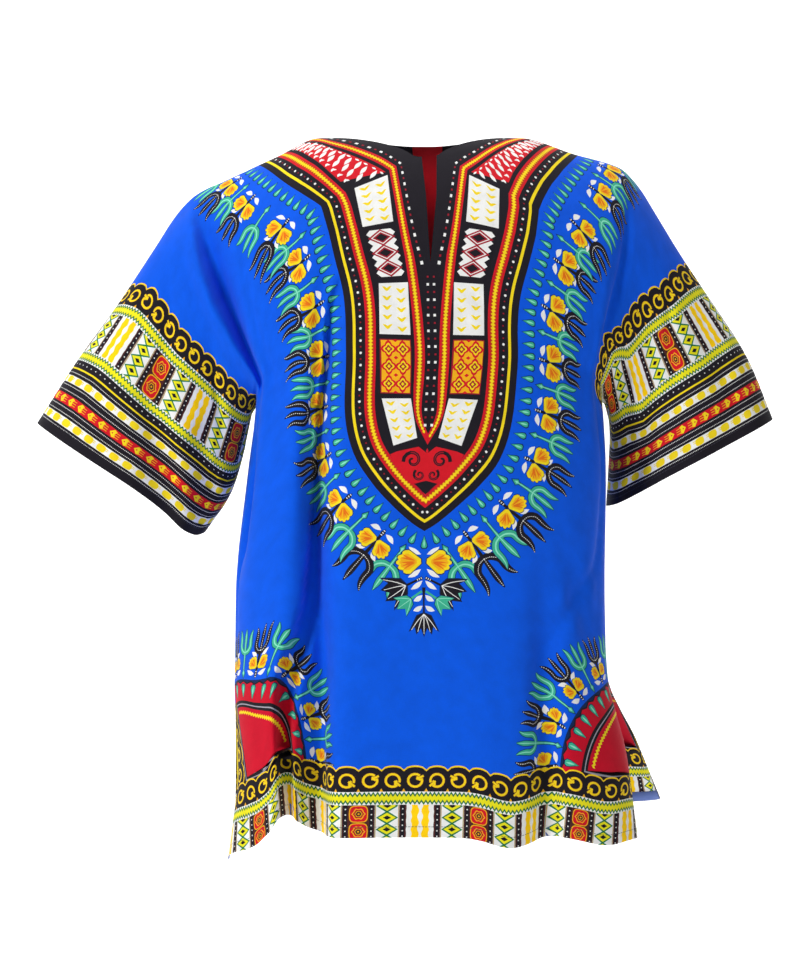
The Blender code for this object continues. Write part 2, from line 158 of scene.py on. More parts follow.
BACK_LEVELS = {
    "drop":    (0.00, 0.18, 0.42, 0.62, 0.82, 1.00),
    "middle":  (-0.245, -0.340, -0.458, -0.552, -0.650, -0.737),
    "right_z": (-0.290, -0.374, -0.484, -0.576, -0.672, -0.756),
    "left_z":  (-0.285, -0.370, -0.480, -0.570, -0.655, -0.722),
    "right_x": (-0.180, -0.191, -0.202, -0.203, -0.204, -0.206),
    "left_x":  (0.190, 0.194, 0.193, 0.195, 0.233, 0.262),
    "right_y": (-0.010, -0.010, -0.010, -0.010, 0.010, 0.028),
    "left_y":  (-0.015, -0.020, -0.015, -0.015, 0.034, 0.060),
    "depth":   (0.112, 0.108, 0.106, 0.110, 0.118, 0.126),
}
# How the hem rises and dips along the front and the back. Columns: distance
# from the middle, how far it rises, half width.
FRONT_HEM = ((-0.150, 0.024, 0.020), (0.088, -0.011, 0.028), (0.190, -0.008, 0.030))
BACK_HEM = ((-0.104, 0.008, 0.030), (0.030, -0.006, 0.040), (0.130, 0.008, 0.030))
HEM_REACH = 0.16
FRONT_SQUARENESS = 2.7
BACK_SQUARENESS = 2.3

# Hanging folds of the body. Columns: z, distance along the section from the
# middle (right is negative), depth, half width, and how far the bottom of the
# fold leans sideways under one of its lips.
FRONT_FOLDS = {
    "right valley": (
        (-0.130, -0.100, 0.000, 0.012, 0.000),
        (-0.220, -0.106, 0.014, 0.013, -0.006),
        (-0.340, -0.114, 0.024, 0.015, -0.012),
        (-0.500, -0.117, 0.032, 0.018, -0.003),
        (-0.640, -0.118, 0.042, 0.020, 0.010),
        (-0.760, -0.122, 0.052, 0.022, 0.016),
    ),
    "left valley": (
        (-0.400, 0.124, 0.000, 0.016, 0.000),
        (-0.520, 0.124, 0.006, 0.016, 0.000),
        (-0.640, 0.123, 0.013, 0.017, 0.006),
        (-0.760, 0.122, 0.024, 0.018, 0.009),
    ),
    "right side hollow": (
        (-0.300, -0.215, 0.000, 0.018, 0.000),
        (-0.360, -0.222, 0.018, 0.018, 0.000),
        (-0.430, -0.228, 0.012, 0.018, 0.000),
        (-0.480, -0.230, 0.000, 0.018, 0.000),
    ),
    "left waist crease": (
        (-0.420, 0.148, 0.000, 0.012, 0.000),
        (-0.470, 0.160, 0.006, 0.012, 0.000),
        (-0.530, 0.186, 0.005, 0.012, 0.000),
        (-0.560, 0.200, 0.000, 0.012, 0.000),
    ),
}
BACK_FOLDS = {
    "right back fold": (
        (-0.250, -0.110, 0.000, 0.022, 0.000),
        (-0.450, -0.104, 0.014, 0.022, 0.000),
        (-0.760, -0.098, 0.030, 0.024, 0.010),
    ),
    "middle back fold": (
        (-0.420, 0.012, 0.000, 0.026, 0.000),
        (-0.760, 0.022, 0.014, 0.026, 0.000),
    ),
    "left back fold": (
        (-0.220, 0.104, 0.000, 0.020, 0.000),
        (-0.400, 0.112, 0.016, 0.021, 0.000),
        (-0.760, 0.126, 0.028, 0.024, -0.008),
    ),
}

# Sleeves: top and underside lines from the sleeve line to the cuff.
# Columns: share of the way out, x and z of the top, x, y and z of the underside,
# and how far the wall bulges to the front and to the back.
RIGHT_SLEEVE = {
    "share":  (0.00, 0.14, 0.33, 0.66, 1.00),
    "top_x":  (-0.286, -0.304, -0.329, -0.374, -0.417),
    "top_z":  (-0.113, -0.141, -0.179, -0.241, -0.308),
    "foot_x": (-0.180, -0.187, -0.193, -0.208, -0.236),
    "foot_y": (-0.010, -0.004, 0.004, 0.006, 0.006),
    "foot_z": (-0.290, -0.303, -0.333, -0.382, -0.424),
    "front":  (0.072, 0.071, 0.070, 0.070, 0.070),
    "back":   (0.074, 0.074, 0.074, 0.072, 0.068),
}
LEFT_SLEEVE = {
    "share":  (0.00, 0.14, 0.33, 0.66, 1.00),
    "top_x":  (0.268, 0.285, 0.309, 0.349, 0.376),
    "top_z":  (-0.114, -0.141, -0.176, -0.239, -0.304),
    "foot_x": (0.190, 0.202, 0.203, 0.202, 0.200),
    "foot_y": (-0.015, 0.008, 0.022, 0.034, 0.038),
    "foot_z": (-0.285, -0.296, -0.320, -0.358, -0.398),
    "front":  (0.072, 0.071, 0.070, 0.072, 0.074),
    "back":   (0.074, 0.073, 0.070, 0.062, 0.056),
}
# Where the cuff hangs lowest: how far round, how far down, half width
CUFF_DIP = {"right front": (0.80, 0.013, 0.13), "right back": (0.74, 0.006, 0.16),
            "left front": (0.80, 0.003, 0.13), "left back": (0.74, 0.005, 0.16)}
# Sleeve folds. Columns: how far round from the top to the underside the fold
# starts at the sleeve line and ends at the cuff, depth at both ends, half width.
SLEEVE_FOLDS = {
    "right front": ((0.22, 0.70, 0.010, 0.012, 0.060), (0.52, 0.86, 0.012, 0.008, 0.055)),
    "right back": ((0.30, 0.62, 0.008, 0.012, 0.070), (0.62, 0.84, 0.010, 0.006, 0.060)),
    "left front": ((0.40, 0.78, 0.012, 0.010, 0.060), (0.18, 0.36, 0.006, 0.006, 0.070)),
    "left back": ((0.28, 0.60, 0.008, 0.012, 0.070), (0.58, 0.82, 0.010, 0.006, 0.060)),
}
# Hollow under each arm, where the body turns into the sleeve
ARM_HOLLOW_DEPTH = 0.026
ARM_HOLLOW_WIDTH = 0.030
BLEND_COLUMNS = 4
BLEND_PASSES = 10


def follow(table, key, column, at):
    """Smooth curve through one column of a table, read at the given places."""
    knots = np.array(table[key])
    values = np.array(table[column])
    rates = np.diff(values) / np.diff(knots)
    ends = np.concatenate((rates[:1], rates, rates[-1:]))
    turning = ends[1:] * ends[:-1] <= 0
    total = np.where(turning, 1.0, ends[1:] + ends[:-1])
    slopes = np.where(turning, 0.0, 2 * ends[1:] * ends[:-1] / total)
    at = np.clip(at, knots[0], knots[-1])
    span = np.clip(np.searchsorted(knots, at, side="right") - 1, 0, len(knots) - 2)
    width = knots[span + 1] - knots[span]
    s = (at - knots[span]) / width
    return ((2 * s**3 - 3 * s**2 + 1) * values[span] + (s**3 - 2 * s**2 + s) * width * slopes[span]
            + (3 * s**2 - 2 * s**3) * values[span + 1] + (s**3 - s**2) * width * slopes[span + 1])


def two_sided(table, kind, share):
    """The right column where the share is negative, and the left one where it isn't."""
    right = follow(table, "share", "right_" + kind, np.abs(share))
    left = follow(table, "share", "left_" + kind, np.abs(share))
    return np.where(share < 0, right, left)


def section(levels, drop, share):
    """Points of one section of the body, evenly spaced by share from -1 to 1."""
    def level(column):
        return follow(levels, "drop", column, np.array(drop))
    turn = np.linspace(-pi / 2, pi / 2, 241)
    power = 2 / (FRONT_SQUARENESS if levels is FRONT_LEVELS else BACK_SQUARENESS)
    out = np.sign(turn) * np.abs(np.sin(turn)) ** power
    forward = np.abs(np.cos(turn)) ** power
    edge_y = np.where(turn < 0, level("right_y"), level("left_y"))
    edge_z = np.where(turn < 0, level("right_z"), level("left_z"))
    middle_x = 0.5 * (level("right_x") + level("left_x"))
    half = 0.5 * (level("left_x") - level("right_x"))
    x = middle_x + half * out
    y = edge_y + (level("depth") - edge_y) * forward
    z = edge_z + (level("middle") - edge_z) * forward
    steps = np.hypot(np.diff(x), np.diff(y))
    length = np.concatenate(([0.0], np.cumsum(steps)))
    wanted = (share + 1) / 2 * length[-1]
    return np.stack([np.interp(wanted, length, part) for part in (x, y, z)], axis=-1)


def body_points(side, share, fall):
    """One row of the body. fall runs from 0 at the shoulder fold to 1 at the
    underarm row and 2 at the hem; a row may have its own fall at each point."""
    levels = FRONT_LEVELS if side < 0 else BACK_LEVELS
    lower = section(levels, max(float(np.max(fall)) - 1, 0.0), share)
    if np.max(fall) > 1:
        return lower
    ridge_x = two_sided(SHOULDER, "x", share)
    ridge_z = two_sided(SHOULDER, "z", share)
    outward = np.abs(share) ** 3
    drop = 1 - np.cos(pi / 2 * fall)
    reach = np.sin(pi / 2 * fall)
    if side > 0:
        drop = 1 - (1 - reach ** 3.2) ** (1 / 2.2)
        ridge_z = ridge_z + NAPE_RISE * np.clip(1 - np.abs(share) / NECK_SHARE, 0, 1)
    round_drop = (1 - np.cos(pi * fall)) / 2
    down = drop * (1 - outward) + round_drop * outward
    bulge = side * 0.073 * np.sin(pi * fall) * outward
    x = ridge_x + (lower[:, 0] - ridge_x) * down
    y = lower[:, 1] * (reach * (1 - outward) + round_drop * outward) + bulge
    z = ridge_z + (lower[:, 2] - ridge_z) * down
    return np.stack([x, y, z], axis=-1)


def neck_fall(side, share):
    """How far down each column starts, because the neck is cut out of the cloth."""
    inside = np.clip(1 - np.abs(share) / NECK_SHARE, 0, 1)
    if side < 0:
        return NECK_FRONT * inside
    return NECK_BACK * np.sin(pi / 2 * inside)


def add_folds(rows, folds, hem, side):
    """Push the hanging folds into the wall, each on its own path down the body."""
    shaped = rows.copy()
    for r, row in enumerate(rows):
        steps = np.hypot(np.diff(row[:, 0]), np.diff(row[:, 1]))
        along = np.concatenate(([0.0], np.cumsum(steps)))
        along -= np.interp(0.0, row[:, 0], along)
        tangent = np.gradient(row[:, :2], axis=0)
        tangent /= np.linalg.norm(tangent, axis=1, keepdims=True)
        inward = side * np.stack([tangent[:, 1], -tangent[:, 0]], axis=-1)
        for rows_of_fold in folds.values():
            path = np.array(rows_of_fold)[::-1]
            height = row[:, 2]
            place, depth, half, lean = (np.interp(height, path[:, 0], path[:, k]) for k in range(1, 5))
            depth = np.where(height > path[-1, 0], 0.0, depth)
            dent = np.exp(-((along - place) / half) ** 2)
            shaped[r, :, :2] += inward * (depth * dent)[:, None]
            shaped[r, :, :2] += tangent * (lean * dent * (depth > 0))[:, None]
        above_hem = row[:, 2] - rows[-1, :, 2]
        for place, rise, half in hem:
            wave = rise * np.exp(-((along - place) / half) ** 2)
            shaped[r, :, 2] += wave * np.exp(-(above_hem / HEM_REACH) ** 2)
    return shaped


def sleeve_points(table, side, out, fall):
    """Points of one sleeve column, from its top round to its underside."""
    def line(column):
        return float(follow(table, "share", column, np.array(out)))
    round_drop = (1 - np.cos(pi * fall)) / 2
    bulge = line("front") if side < 0 else line("back")
    x = line("top_x") + (line("foot_x") - line("top_x")) * round_drop
    y = line("foot_y") * round_drop + side * bulge * np.sin(pi * fall)
    z = line("top_z") + (line("foot_z") - line("top_z")) * round_drop
    return np.stack([x, y, z], axis=-1)


def body_shares():
    """Where the columns of the body lie, closer together at the two deep folds."""
    fine = np.linspace(-1, 1, 801)
    density = 1 + CROWDING * np.exp(-((np.abs(fine) - CROWDED_SHARE) / CROWDED_WIDTH) ** 2)
    steps = 0.5 * (density[1:] + density[:-1])
    count = np.concatenate(([0.0], np.cumsum(steps)))
    return np.interp(np.linspace(0, count[-1], BODY_COLUMNS + 1), count, fine)


def soften_arm_lines(rows, side):
    """Sink the hollow in front of and behind each arm, and round the wall there."""
    fall = np.linspace(0, 1, UPPER_ROWS + 1)[:, None]
    hold = np.sqrt(np.sin(pi * fall).clip(0, 1))[:, :, None]
    for line in (SLEEVE_COLUMNS, SLEEVE_COLUMNS + BODY_COLUMNS):
        steps = np.linalg.norm(np.diff(rows, axis=1), axis=2)
        along = np.concatenate([np.zeros((len(rows), 1)), np.cumsum(steps, axis=1)], axis=1)
        away = (along - along[:, line:line + 1]) / ARM_HOLLOW_WIDTH
        strength = ARM_HOLLOW_DEPTH * np.sin(pi * fall) * np.clip(fall * 1.6, 0, 1)
        rows[:, :, 1] -= side * strength * np.exp(-away ** 2)
        for spread in range(BLEND_PASSES):
            low, high = line - BLEND_COLUMNS, line + BLEND_COLUMNS + 1
            mean = 0.5 * (rows[:, low - 1:high - 1] + rows[:, low + 1:high + 1])
            rows[:, low:high] += 0.5 * hold * (mean - rows[:, low:high])
    return rows


def half_garment(side):
    """Front or back: upper rows from cuff to cuff, and the lower rows of the body."""
    share = body_shares()
    start = neck_fall(side, share)
    levels = FRONT_LEVELS if side < 0 else BACK_LEVELS
    upper = [body_points(side, share, start + (1 - start) * step)
             for step in np.linspace(0, 1, UPPER_ROWS + 1)]
    lower = [section(levels, drop, share) for drop in np.linspace(0, 1, LOWER_ROWS + 1)]
    folds, hem = (FRONT_FOLDS, FRONT_HEM) if side < 0 else (BACK_FOLDS, BACK_HEM)
    body = add_folds(np.array(upper + lower[1:]), folds, hem, side)
    fall = np.linspace(0, 1, UPPER_ROWS + 1)
    arms = []
    for name, table in (("right", RIGHT_SLEEVE), ("left", LEFT_SLEEVE)):
        folds = SLEEVE_FOLDS[name + (" front" if side < 0 else " back")]
        wall = []
        for out in np.linspace(0, 1, SLEEVE_COLUMNS + 1):
            column = sleeve_points(table, side, out, fall)
            for first, last, shallow, deep, half in folds:
                dent = np.exp(-((fall - first - (last - first) * out) / half) ** 2)
                column[:, 1] -= side * dent * (shallow + (deep - shallow) * out) * min(3 * out, 1)
            place, dip, half = CUFF_DIP[name + (" front" if side < 0 else " back")]
            column[:, 2] -= dip * out ** 2 * np.exp(-((fall - place) / half) ** 2)
            wall.append(column)
        arms.append(np.array(wall).transpose(1, 0, 2))
    right, left = arms
    upper = np.concatenate([right[:, :0:-1], body[:UPPER_ROWS + 1], left[:, 1:]], axis=1)
    return soften_arm_lines(upper, side), body[UPPER_ROWS:]


# How far the cloth reaches on the flat, in metres: down from the shoulder fold to
# the hem, and out from the middle to the sleeve line and the cuff
CLOTH_LENGTH = 0.79
UNDERARM_PLACE = 0.37
CUFF_PLACE = 0.565
SHIFT_FROM = 0.6
SHIFT_FADES = 1.6
FINE_ROWS = 6
FINE_COLUMNS = 4
FINE_SLEEVE = 8
SEWN_ROWS = 24


def lengths_along(grid, axis):
    """Distance run along the rows or columns of a grid, from its first point."""
    steps = np.linalg.norm(np.diff(grid, axis=axis), axis=2)
    return np.insert(np.cumsum(steps, axis=axis), 0, 0.0, axis=axis)


def flat_places(side, upper, body):
    """Where the points of a half lie on the flat cloth: out from the middle, and
    down from the shoulder fold, the part cut away at the neck included."""
    share = body_shares()
    start = neck_fall(side, share)
    cut_away = np.array([body_points(side, share, start * k / 8) for k in range(9)])
    down = lengths_along(body, 0) + lengths_along(cut_away, 0)[-1]
    down *= CLOTH_LENGTH / down[-1]
    out = lengths_along(body, 1)
    out -= out[:, BODY_COLUMNS // 2, None]
    row = np.arange(len(body))
    share_down = np.clip(row / UPPER_ROWS, 0, 1)
    fade = np.exp(-(np.clip(row - UPPER_ROWS, 0, None) / SHIFT_FADES) ** 2)
    for edge in (0, -1):
        reach = np.abs(out[:, edge])
        shift = (UNDERARM_PLACE - reach[UPPER_ROWS]) * fade * share_down ** 1.5
        ramp = np.clip((np.abs(out) / reach[:, None] - SHIFT_FROM) / (1 - SHIFT_FROM), 0, 1)
        ramp = ramp ** 2 * (3 - 2 * ramp) * (np.sign(out) == np.sign(out[:, edge])[:, None])
        out += np.sign(out) * shift[:, None] * ramp
    return out, down


def arm_places(arm, out, down):
    """The same for a sleeve, whose points run from the sleeve line to the cuff."""
    run = lengths_along(arm, 1)
    run /= run[:, -1:]
    cuff = np.sign(out[0]) * CUFF_PLACE
    return out[:, None] + run * (cuff - out[:, None]), np.repeat(down[:, None], arm.shape[1], axis=1)


def between(rows, steps, before=None, after=None):
    """Points between the rows of a grid, on smooth curves through all its points."""
    if before is None:
        before = 2 * rows[0] - rows[1]
    if after is None:
        after = 2 * rows[-1] - rows[-2]
    knots = np.concatenate([before[None], rows, after[None]])
    a, b, c, d = knots[:-3], knots[1:-2], knots[2:-1], knots[3:]
    spans = [0.5 * (2 * b + (c - a) * t + (2 * a - 5 * b + 4 * c - d) * t ** 2
                    + (3 * b - a - 3 * c + d) * t ** 3) for t in np.arange(steps) / steps]
    fine = np.stack(spans, axis=1).reshape(-1, *rows.shape[1:])
    return np.concatenate([fine, rows[-1:]])


def across(grid, steps, before=None, after=None):
    """The same between the columns of a grid."""
    return between(grid.swapaxes(0, 1), steps, before, after).swapaxes(0, 1)


halves = {}
for side in (-1, 1):
    upper, lower = half_garment(side)
    right_arm = upper[:, SLEEVE_COLUMNS::-1]
    left_arm = upper[:, -1 - SLEEVE_COLUMNS:]
    body = np.concatenate([upper[:, SLEEVE_COLUMNS:SLEEVE_COLUMNS + BODY_COLUMNS + 1], lower[1:]])
    out, down = flat_places(side, upper, body)
    places = {"body": (out, down)}
    for name, arm, edge in (("right", right_arm, 0), ("left", left_arm, -1)):
        places[name] = arm_places(arm, out[:UPPER_ROWS + 1, edge], down[:UPPER_ROWS + 1, edge])
    halves[side] = {"body": body, "right": right_arm, "left": left_arm, "places": places}

# Finer grids. The curves run on over the shoulder fold, the sleeve lines and the
# side seams, so no edge shows where the cloth goes on.
sewn = (np.abs(body_shares()) >= NECK_SHARE)[:, None]
cloth, on_flat = {}, {}
for side in (-1, 1):
    here, other = halves[side], halves[-side]
    body = here["body"]
    over = np.where(sewn, other["body"][1], 2 * body[0] - body[1])
    fine = between(body, FINE_ROWS, before=over)
    beside = []
    for name, edge, inner in (("right", 0, 1), ("left", -1, -2)):
        free = 2 * body[:, edge] - body[:, inner]
        free[:UPPER_ROWS + 1] = here[name][:, 1]
        free[UPPER_ROWS + 1:SEWN_ROWS] = other["body"][UPPER_ROWS + 1:SEWN_ROWS, inner]
        beside.append(between(free, FINE_ROWS))
    cloth[side] = across(fine, FINE_COLUMNS, *beside)
    flat = np.stack(here["places"]["body"], axis=-1)
    on_flat[side] = across(between(flat, FINE_ROWS), FINE_COLUMNS)
for name, edge, step in (("right", 0, FINE_COLUMNS), ("left", -1, -FINE_COLUMNS)):
    front, back = halves[-1], halves[1]
    tube = np.concatenate([back[name][:0:-1], front[name]])
    inner = 1 if edge == 0 else -2
    beside = np.concatenate([back["body"][UPPER_ROWS:0:-1, inner], front["body"][:UPPER_ROWS + 1, inner]])
    fine = between(tube, FINE_ROWS, before=front[name][-2], after=back[name][-2])
    cloth[name] = across(fine, FINE_SLEEVE, before=between(beside, FINE_ROWS))
    last = UPPER_ROWS * FINE_ROWS + 1
    line = np.concatenate([cloth[1][:last, edge][:0:-1], cloth[-1][:last, edge]])
    nudge = (line - cloth[name][:, 0])[:, None] * np.linspace(1, 0, cloth[name].shape[1])[:, None] ** 4
    cloth[name] = cloth[name] + nudge
    flats = [np.stack(half["places"][name], axis=-1) for half in (back, front)]
    flats[0] = flats[0] * (1, -1)
    on_flat[name] = across(between(np.concatenate([flats[0][:0:-1], flats[1]]), FINE_ROWS), FINE_SLEEVE)


# The print, drawn flat in millimetres: x out from its middle, y down from the
# shoulder fold. Later shapes cover earlier ones.
DYES = {
    "blue": (0.0, 0.092, 0.72), "black": (0.011, 0.009, 0.014), "yellow": (0.87, 0.66, 0.012),
    "gold": (0.85, 0.42, 0.010), "orange": (0.75, 0.16, 0.008), "red": (0.62, 0.008, 0.018),
    "crimson": (0.34, 0.008, 0.022), "white": (0.82, 0.82, 0.80), "teal": (0.045, 0.42, 0.26),
    "mint": (0.24, 0.72, 0.52), "navy": (0.004, 0.020, 0.085), "green": (0.012, 0.16, 0.050),
    "aqua": (0.50, 0.80, 0.72), "brown": (0.075, 0.018, 0.016), "rust": (0.24, 0.045, 0.008),
    "lime": (0.80, 0.74, 0.012), "gold yellow": (1.0, 0.62, 0.002), "tan": (0.45, 0.26, 0.08), 
    "grey": (0.36, 0.34, 0.40), "deep red": (0.56, 0.002, 0.020),
}
drawing = []


def lay(points, dye, both=True):
    """Print one shape in one dye, and the same again on the other side."""
    points = np.asarray(points, dtype=float)
    drawing.append((points, dye))
    if both:
        drawing.append((points * (-1, 1), dye))


def placed(points, place):
    """Turn a shape to a place: x and y of its origin, and its direction."""
    x, y, turn = place
    points = np.asarray(points, dtype=float)
    c, s = np.cos(turn), np.sin(turn)
    return np.stack([x + points[:, 0] * c - points[:, 1] * s,
                     y + points[:, 0] * s + points[:, 1] * c], axis=-1)


def curve(points, steps=5):
    """A smooth line through a few points."""
    return between(np.asarray(points, dtype=float), steps)


def beside_line(line, distance):
    """The same line moved sideways, with its corners kept sharp."""
    run = np.diff(line, axis=0)
    run /= np.linalg.norm(run, axis=1, keepdims=True)
    square = np.stack([run[:, 1], -run[:, 0]], axis=-1)
    before = np.concatenate([square[:1], square])
    after = np.concatenate([square, square[-1:]])
    stretch = 1 + np.sum(before * after, axis=1, keepdims=True)
    return line + np.reshape(distance, (-1, 1)) * (before + after) / np.maximum(stretch, 0.4)


def around(half, distance):
    """A line beside the left half of an outline, cut off at the middle and mirrored."""
    line = beside_line(half, distance)
    past = np.nonzero(line[:, 0] > -0.05)[0]
    if len(past):
        last = past[0]
        a, b = line[last - 1], line[last]
        line = np.concatenate([line[:last], [a + (b - a) * (-a[0] / (b[0] - a[0] + 1e-9))]])
    line[-1, 0] = 0.0
    return np.concatenate([line, line[-2::-1] * (-1, 1)])


def stripe(line, near, far, dye, both=False):
    lay(np.concatenate([beside_line(line, near), beside_line(line, far)[::-1]]), dye, both)


def ring_band(half, near, far, dye):
    lay(np.concatenate([around(half, near), around(half, far)[::-1]]), dye, False)


def stroke(points, widths, dye, place=(0, 0, 0), both=True, steps=3):
    """A brush stroke through a few points, with its width at each of them."""
    shape = curve(np.column_stack([points, widths]), steps)
    half = np.maximum(shape[:, 2], 0.15) / 2
    outline = np.concatenate([beside_line(shape[:, :2], half), beside_line(shape[:, :2], -half)[::-1]])
    lay(placed(outline, place), dye, both)


def evenly(line, pitch, start=0.0, end=0.0):
    """Places along a line at an even pitch, each with the line's direction."""
    steps = np.linalg.norm(np.diff(line, axis=0), axis=1)
    run = np.insert(np.cumsum(steps), 0, 0.0)
    for at in np.arange(start, run[-1] - end + 1e-6, pitch):
        span = min(np.searchsorted(run, at, side="right") - 1, len(steps) - 1)
        way = line[span + 1] - line[span]
        point = line[span] + way * (at - run[span]) / steps[span]
        yield point[0], point[1], np.arctan2(way[1], way[0])


def resampled(line, pitch):
    return np.array([place[:2] for place in evenly(line, pitch)])


def toothed(line, half, tooth, pitch, dye, ends=None):
    """A stripe with saw teeth along both edges, thinner towards its point."""
    line = resampled(line, pitch / 2)
    if ends:
        thin = np.interp(line[:, 1], *ends)
        half, tooth = half * thin, tooth * thin
    wave = half + np.where(np.arange(len(line)) % 2, tooth, -tooth) / 2
    one, other = beside_line(line, -wave), beside_line(line, wave)
    for k in range(0, len(line) - 1, 6):
        lay(np.concatenate([one[k:k + 7], other[k:k + 7][::-1]]), dye, False)


def leaf(length, width, bend=0.0):
    t = np.linspace(0, 1, 6)
    swell, arch = width / 2 * np.sin(pi * t), bend * np.sin(pi * t)
    return np.concatenate([np.column_stack([t * length, arch + swell]),
                           np.column_stack([t * length, arch - swell])[-2:0:-1]])


def spot(size, sides=6, stretch=1.0):
    turn = 2 * pi * (np.arange(sides) + 0.5) / sides
    return np.column_stack([size / 2 * np.cos(turn) * stretch, size / 2 * np.sin(turn)])


def box(x, y, width, height):
    return [(x, y), (x + width, y), (x + width, y + height), (x, y + height)]


def drop(length, width):
    t = np.array([0, 0.3, 0.6, 0.82, 0.96])
    half = np.array([0, 0.42, 0.88, 1.0, 0.55]) * width / 2
    return np.concatenate([np.column_stack([t * length, half]), np.column_stack([t * length, -half])[:0:-1]])


def teal_drop(place, length=13.0, width=5.6, both=True):
    x, y, turn = place
    back = (x - 1.3 * np.cos(turn), y - 1.3 * np.sin(turn), turn)
    lay(placed(drop(length + 2.4, width + 2.2), back), "navy", both)
    lay(placed(drop(length, width), place), "teal", both)
    lay(placed(leaf(length * 0.62, width * 0.32), (x + length * 0.28 * np.cos(turn),
                                                   y + length * 0.28 * np.sin(turn), turn)), "mint", both)


def shell_flower(place, size=22.0, both=True):
    """A blossom like a scallop shell, opening away from its narrow end."""
    turn = np.linspace(-1.0, 1.0, 16)
    lobes = 0.90 + 0.10 * np.abs(np.cos(turn * 2.5 * pi))
    fan = np.column_stack([lobes * np.cos(turn * 1.05), lobes * np.sin(turn * 1.05) * 0.60])
    fan = np.concatenate([[(0.0, -0.09)], fan, [(0.0, 0.09)]]) * size
    lay(placed(fan * 1.09 - (0.045 * size, 0), place), "navy", both)
    lay(placed(fan, place), "yellow", both)
    lay(placed(fan * (0.70, 0.70) + (0.17 * size, 0), place), "gold", both)
    for way, bend in ((-0.50, 0.8), (-0.26, -0.5), (0.0, 0.4), (0.25, -0.6), (0.48, -0.9)):
        vein = placed(leaf(size * 0.58, size * 0.075, bend), (size * 0.22, way * size * 0.10, way))
        lay(placed(vein, place), "orange", both)


PRONGS = {"side": ((-0.5, 0), (1.6, 6.4), (8.5, 11.4), (18, 11.6), (26, 12.8), (32, 15.5)),
          "side widths": (5.5, 7.2, 7.6, 7.0, 4.6, 0.4),
          "middle": ((0, 0), (10, 0), (23, 0), (34, 0)), "middle widths": (4.2, 5.6, 6.4, 0.4)}


def tulip(place, kind, size=1.0, stem=24.0, both=True, wide=1.0):
    """A trident tulip on its stem, black with beaded veins or teal with light ones."""
    spread = (size, size * wide)
    arms = [(np.array(PRONGS["side"]) * spread * (1, way), np.array(PRONGS["side widths"]) * size)
            for way in (1, -1)]
    arms.append((np.array(PRONGS["middle"]) * size, np.array(PRONGS["middle widths"]) * size))
    stalk = np.array([(-stem, 0), (-stem * 0.5, 0), (0, 0)])
    for points, widths in arms:
        stroke(points, widths + (1.5 if kind == "teal" else 0.9), "navy", place, both)
    stroke(stalk, (3.4, 3.8, 4.6) if kind == "teal" else (3.2, 3.2, 4.4), "navy", place, both)
    for points, widths in arms:
        stroke(points, widths, kind, place, both)
    stroke(stalk, (2.2, 2.6, 3.6) if kind == "teal" else (2.6, 2.6, 4.0), kind, place, both)
    if kind == "teal":
        for grow, dye in ((1.3, "navy"), (1.0, "teal"), (0.5, "mint")):
            tip = np.array([(-6.0, 0), (-0.4, 3.0), (3.4, 0), (-0.4, -3.0)]) * grow - (stem, 0)
            lay(placed(tip, place), dye, both)
        for points, widths in arms:
            stroke(points * (0.95, 1.0) + (0.6, 0), widths * 0.24, "mint", place, both)
        stroke(stalk, (0.8, 0.8, 1.0), "mint", place, both)
        return
    lay(placed(leaf(10.0, 4.8) - (stem + 6.0, 0), place), "black", both)
    for k in range(3):
        lay(placed(box(-stem - 4.2 + 2.5 * k, -1.0, 0.9, 2.0), place), "white", both)
    for points, widths in arms:
        for bead in evenly(curve(points * (0.95, 1.0) + (1.0, 0), 4), 2.1, 0.6, 0.4):
            lay(placed(placed(spot(1.0, 4, 1.5), bead), place), "white", both)


def cup(place, kind, size, tips=3, both=True):
    """A small closed tulip, drawn as one cup with its tips and veins."""
    side = np.linspace(-1, 1, tips)
    points = [(0, -0.06), (0.10, -0.30), (0.38, -0.44)]
    for k, way in enumerate(side):
        points.append((0.98 - 0.20 * abs(way), 0.62 * way))
        if k < tips - 1:
            middle = (way + side[k + 1]) / 2
            points.append((0.66 - 0.14 * abs(middle), 0.50 * middle))
    points += [(0.38, 0.44), (0.10, 0.30), (0, 0.06)]
    points = np.array(points) * size
    lay(placed(points * 1.08 - (0.04 * size, 0), place), "navy", both)
    lay(placed(points, place), kind, both)
    for way in side:
        vein = [(0.02, 0), (0.30, 0.26 * way), (0.88 - 0.18 * abs(way), 0.54 * way)]
        stroke(np.array(vein) * size, (0.7, 0.8, 0.5), "mint" if kind == "teal" else "white", place, both)


# The neck ornament: bands that follow one outline from the shoulder to a point
# below the slit, a ladder of blocks, and a row of flowers around it.
BIB_EDGE = ((196, -30), (197, 0), (187, 33), (167, 69), (148, 96), (124, 129), (115, 160), (105.5, 190),
            (94, 226), (89.5, 258), (89, 300), (86.5, 355), (75.5, 395), (55, 426), (34.5, 448), (14, 466),
            (0, 475))
SLIT_BAND_EDGE = ((146, -30), (145, 0), (134, 19), (113, 38), (92, 53), (48, 86), (35.5, 152), (24.5, 216),
                  (18.5, 273), (17, 335), (13, 361), (0, 386))
BIB_CORNER, SLIT_CORNER = 5, 5
BLOCKS = (
    # kind, outer top, inner top, inner bottom, outer bottom
    ("chevrons", (86, 110), (50, 93), (42, 151), (77, 157)),
    ("diamonds", (76, 160), (40, 156), (26, 213), (58, 215)),
    ("chevrons", (56, 219), (25, 218), (22, 273), (54, 272)),
    ("blossoms", (54, 277), (22, 278), (20, 334), (51, 333)),
    ("chevrons", (49.5, 338.5), (19.5, 338.5), (11, 379), (35, 387)),
)


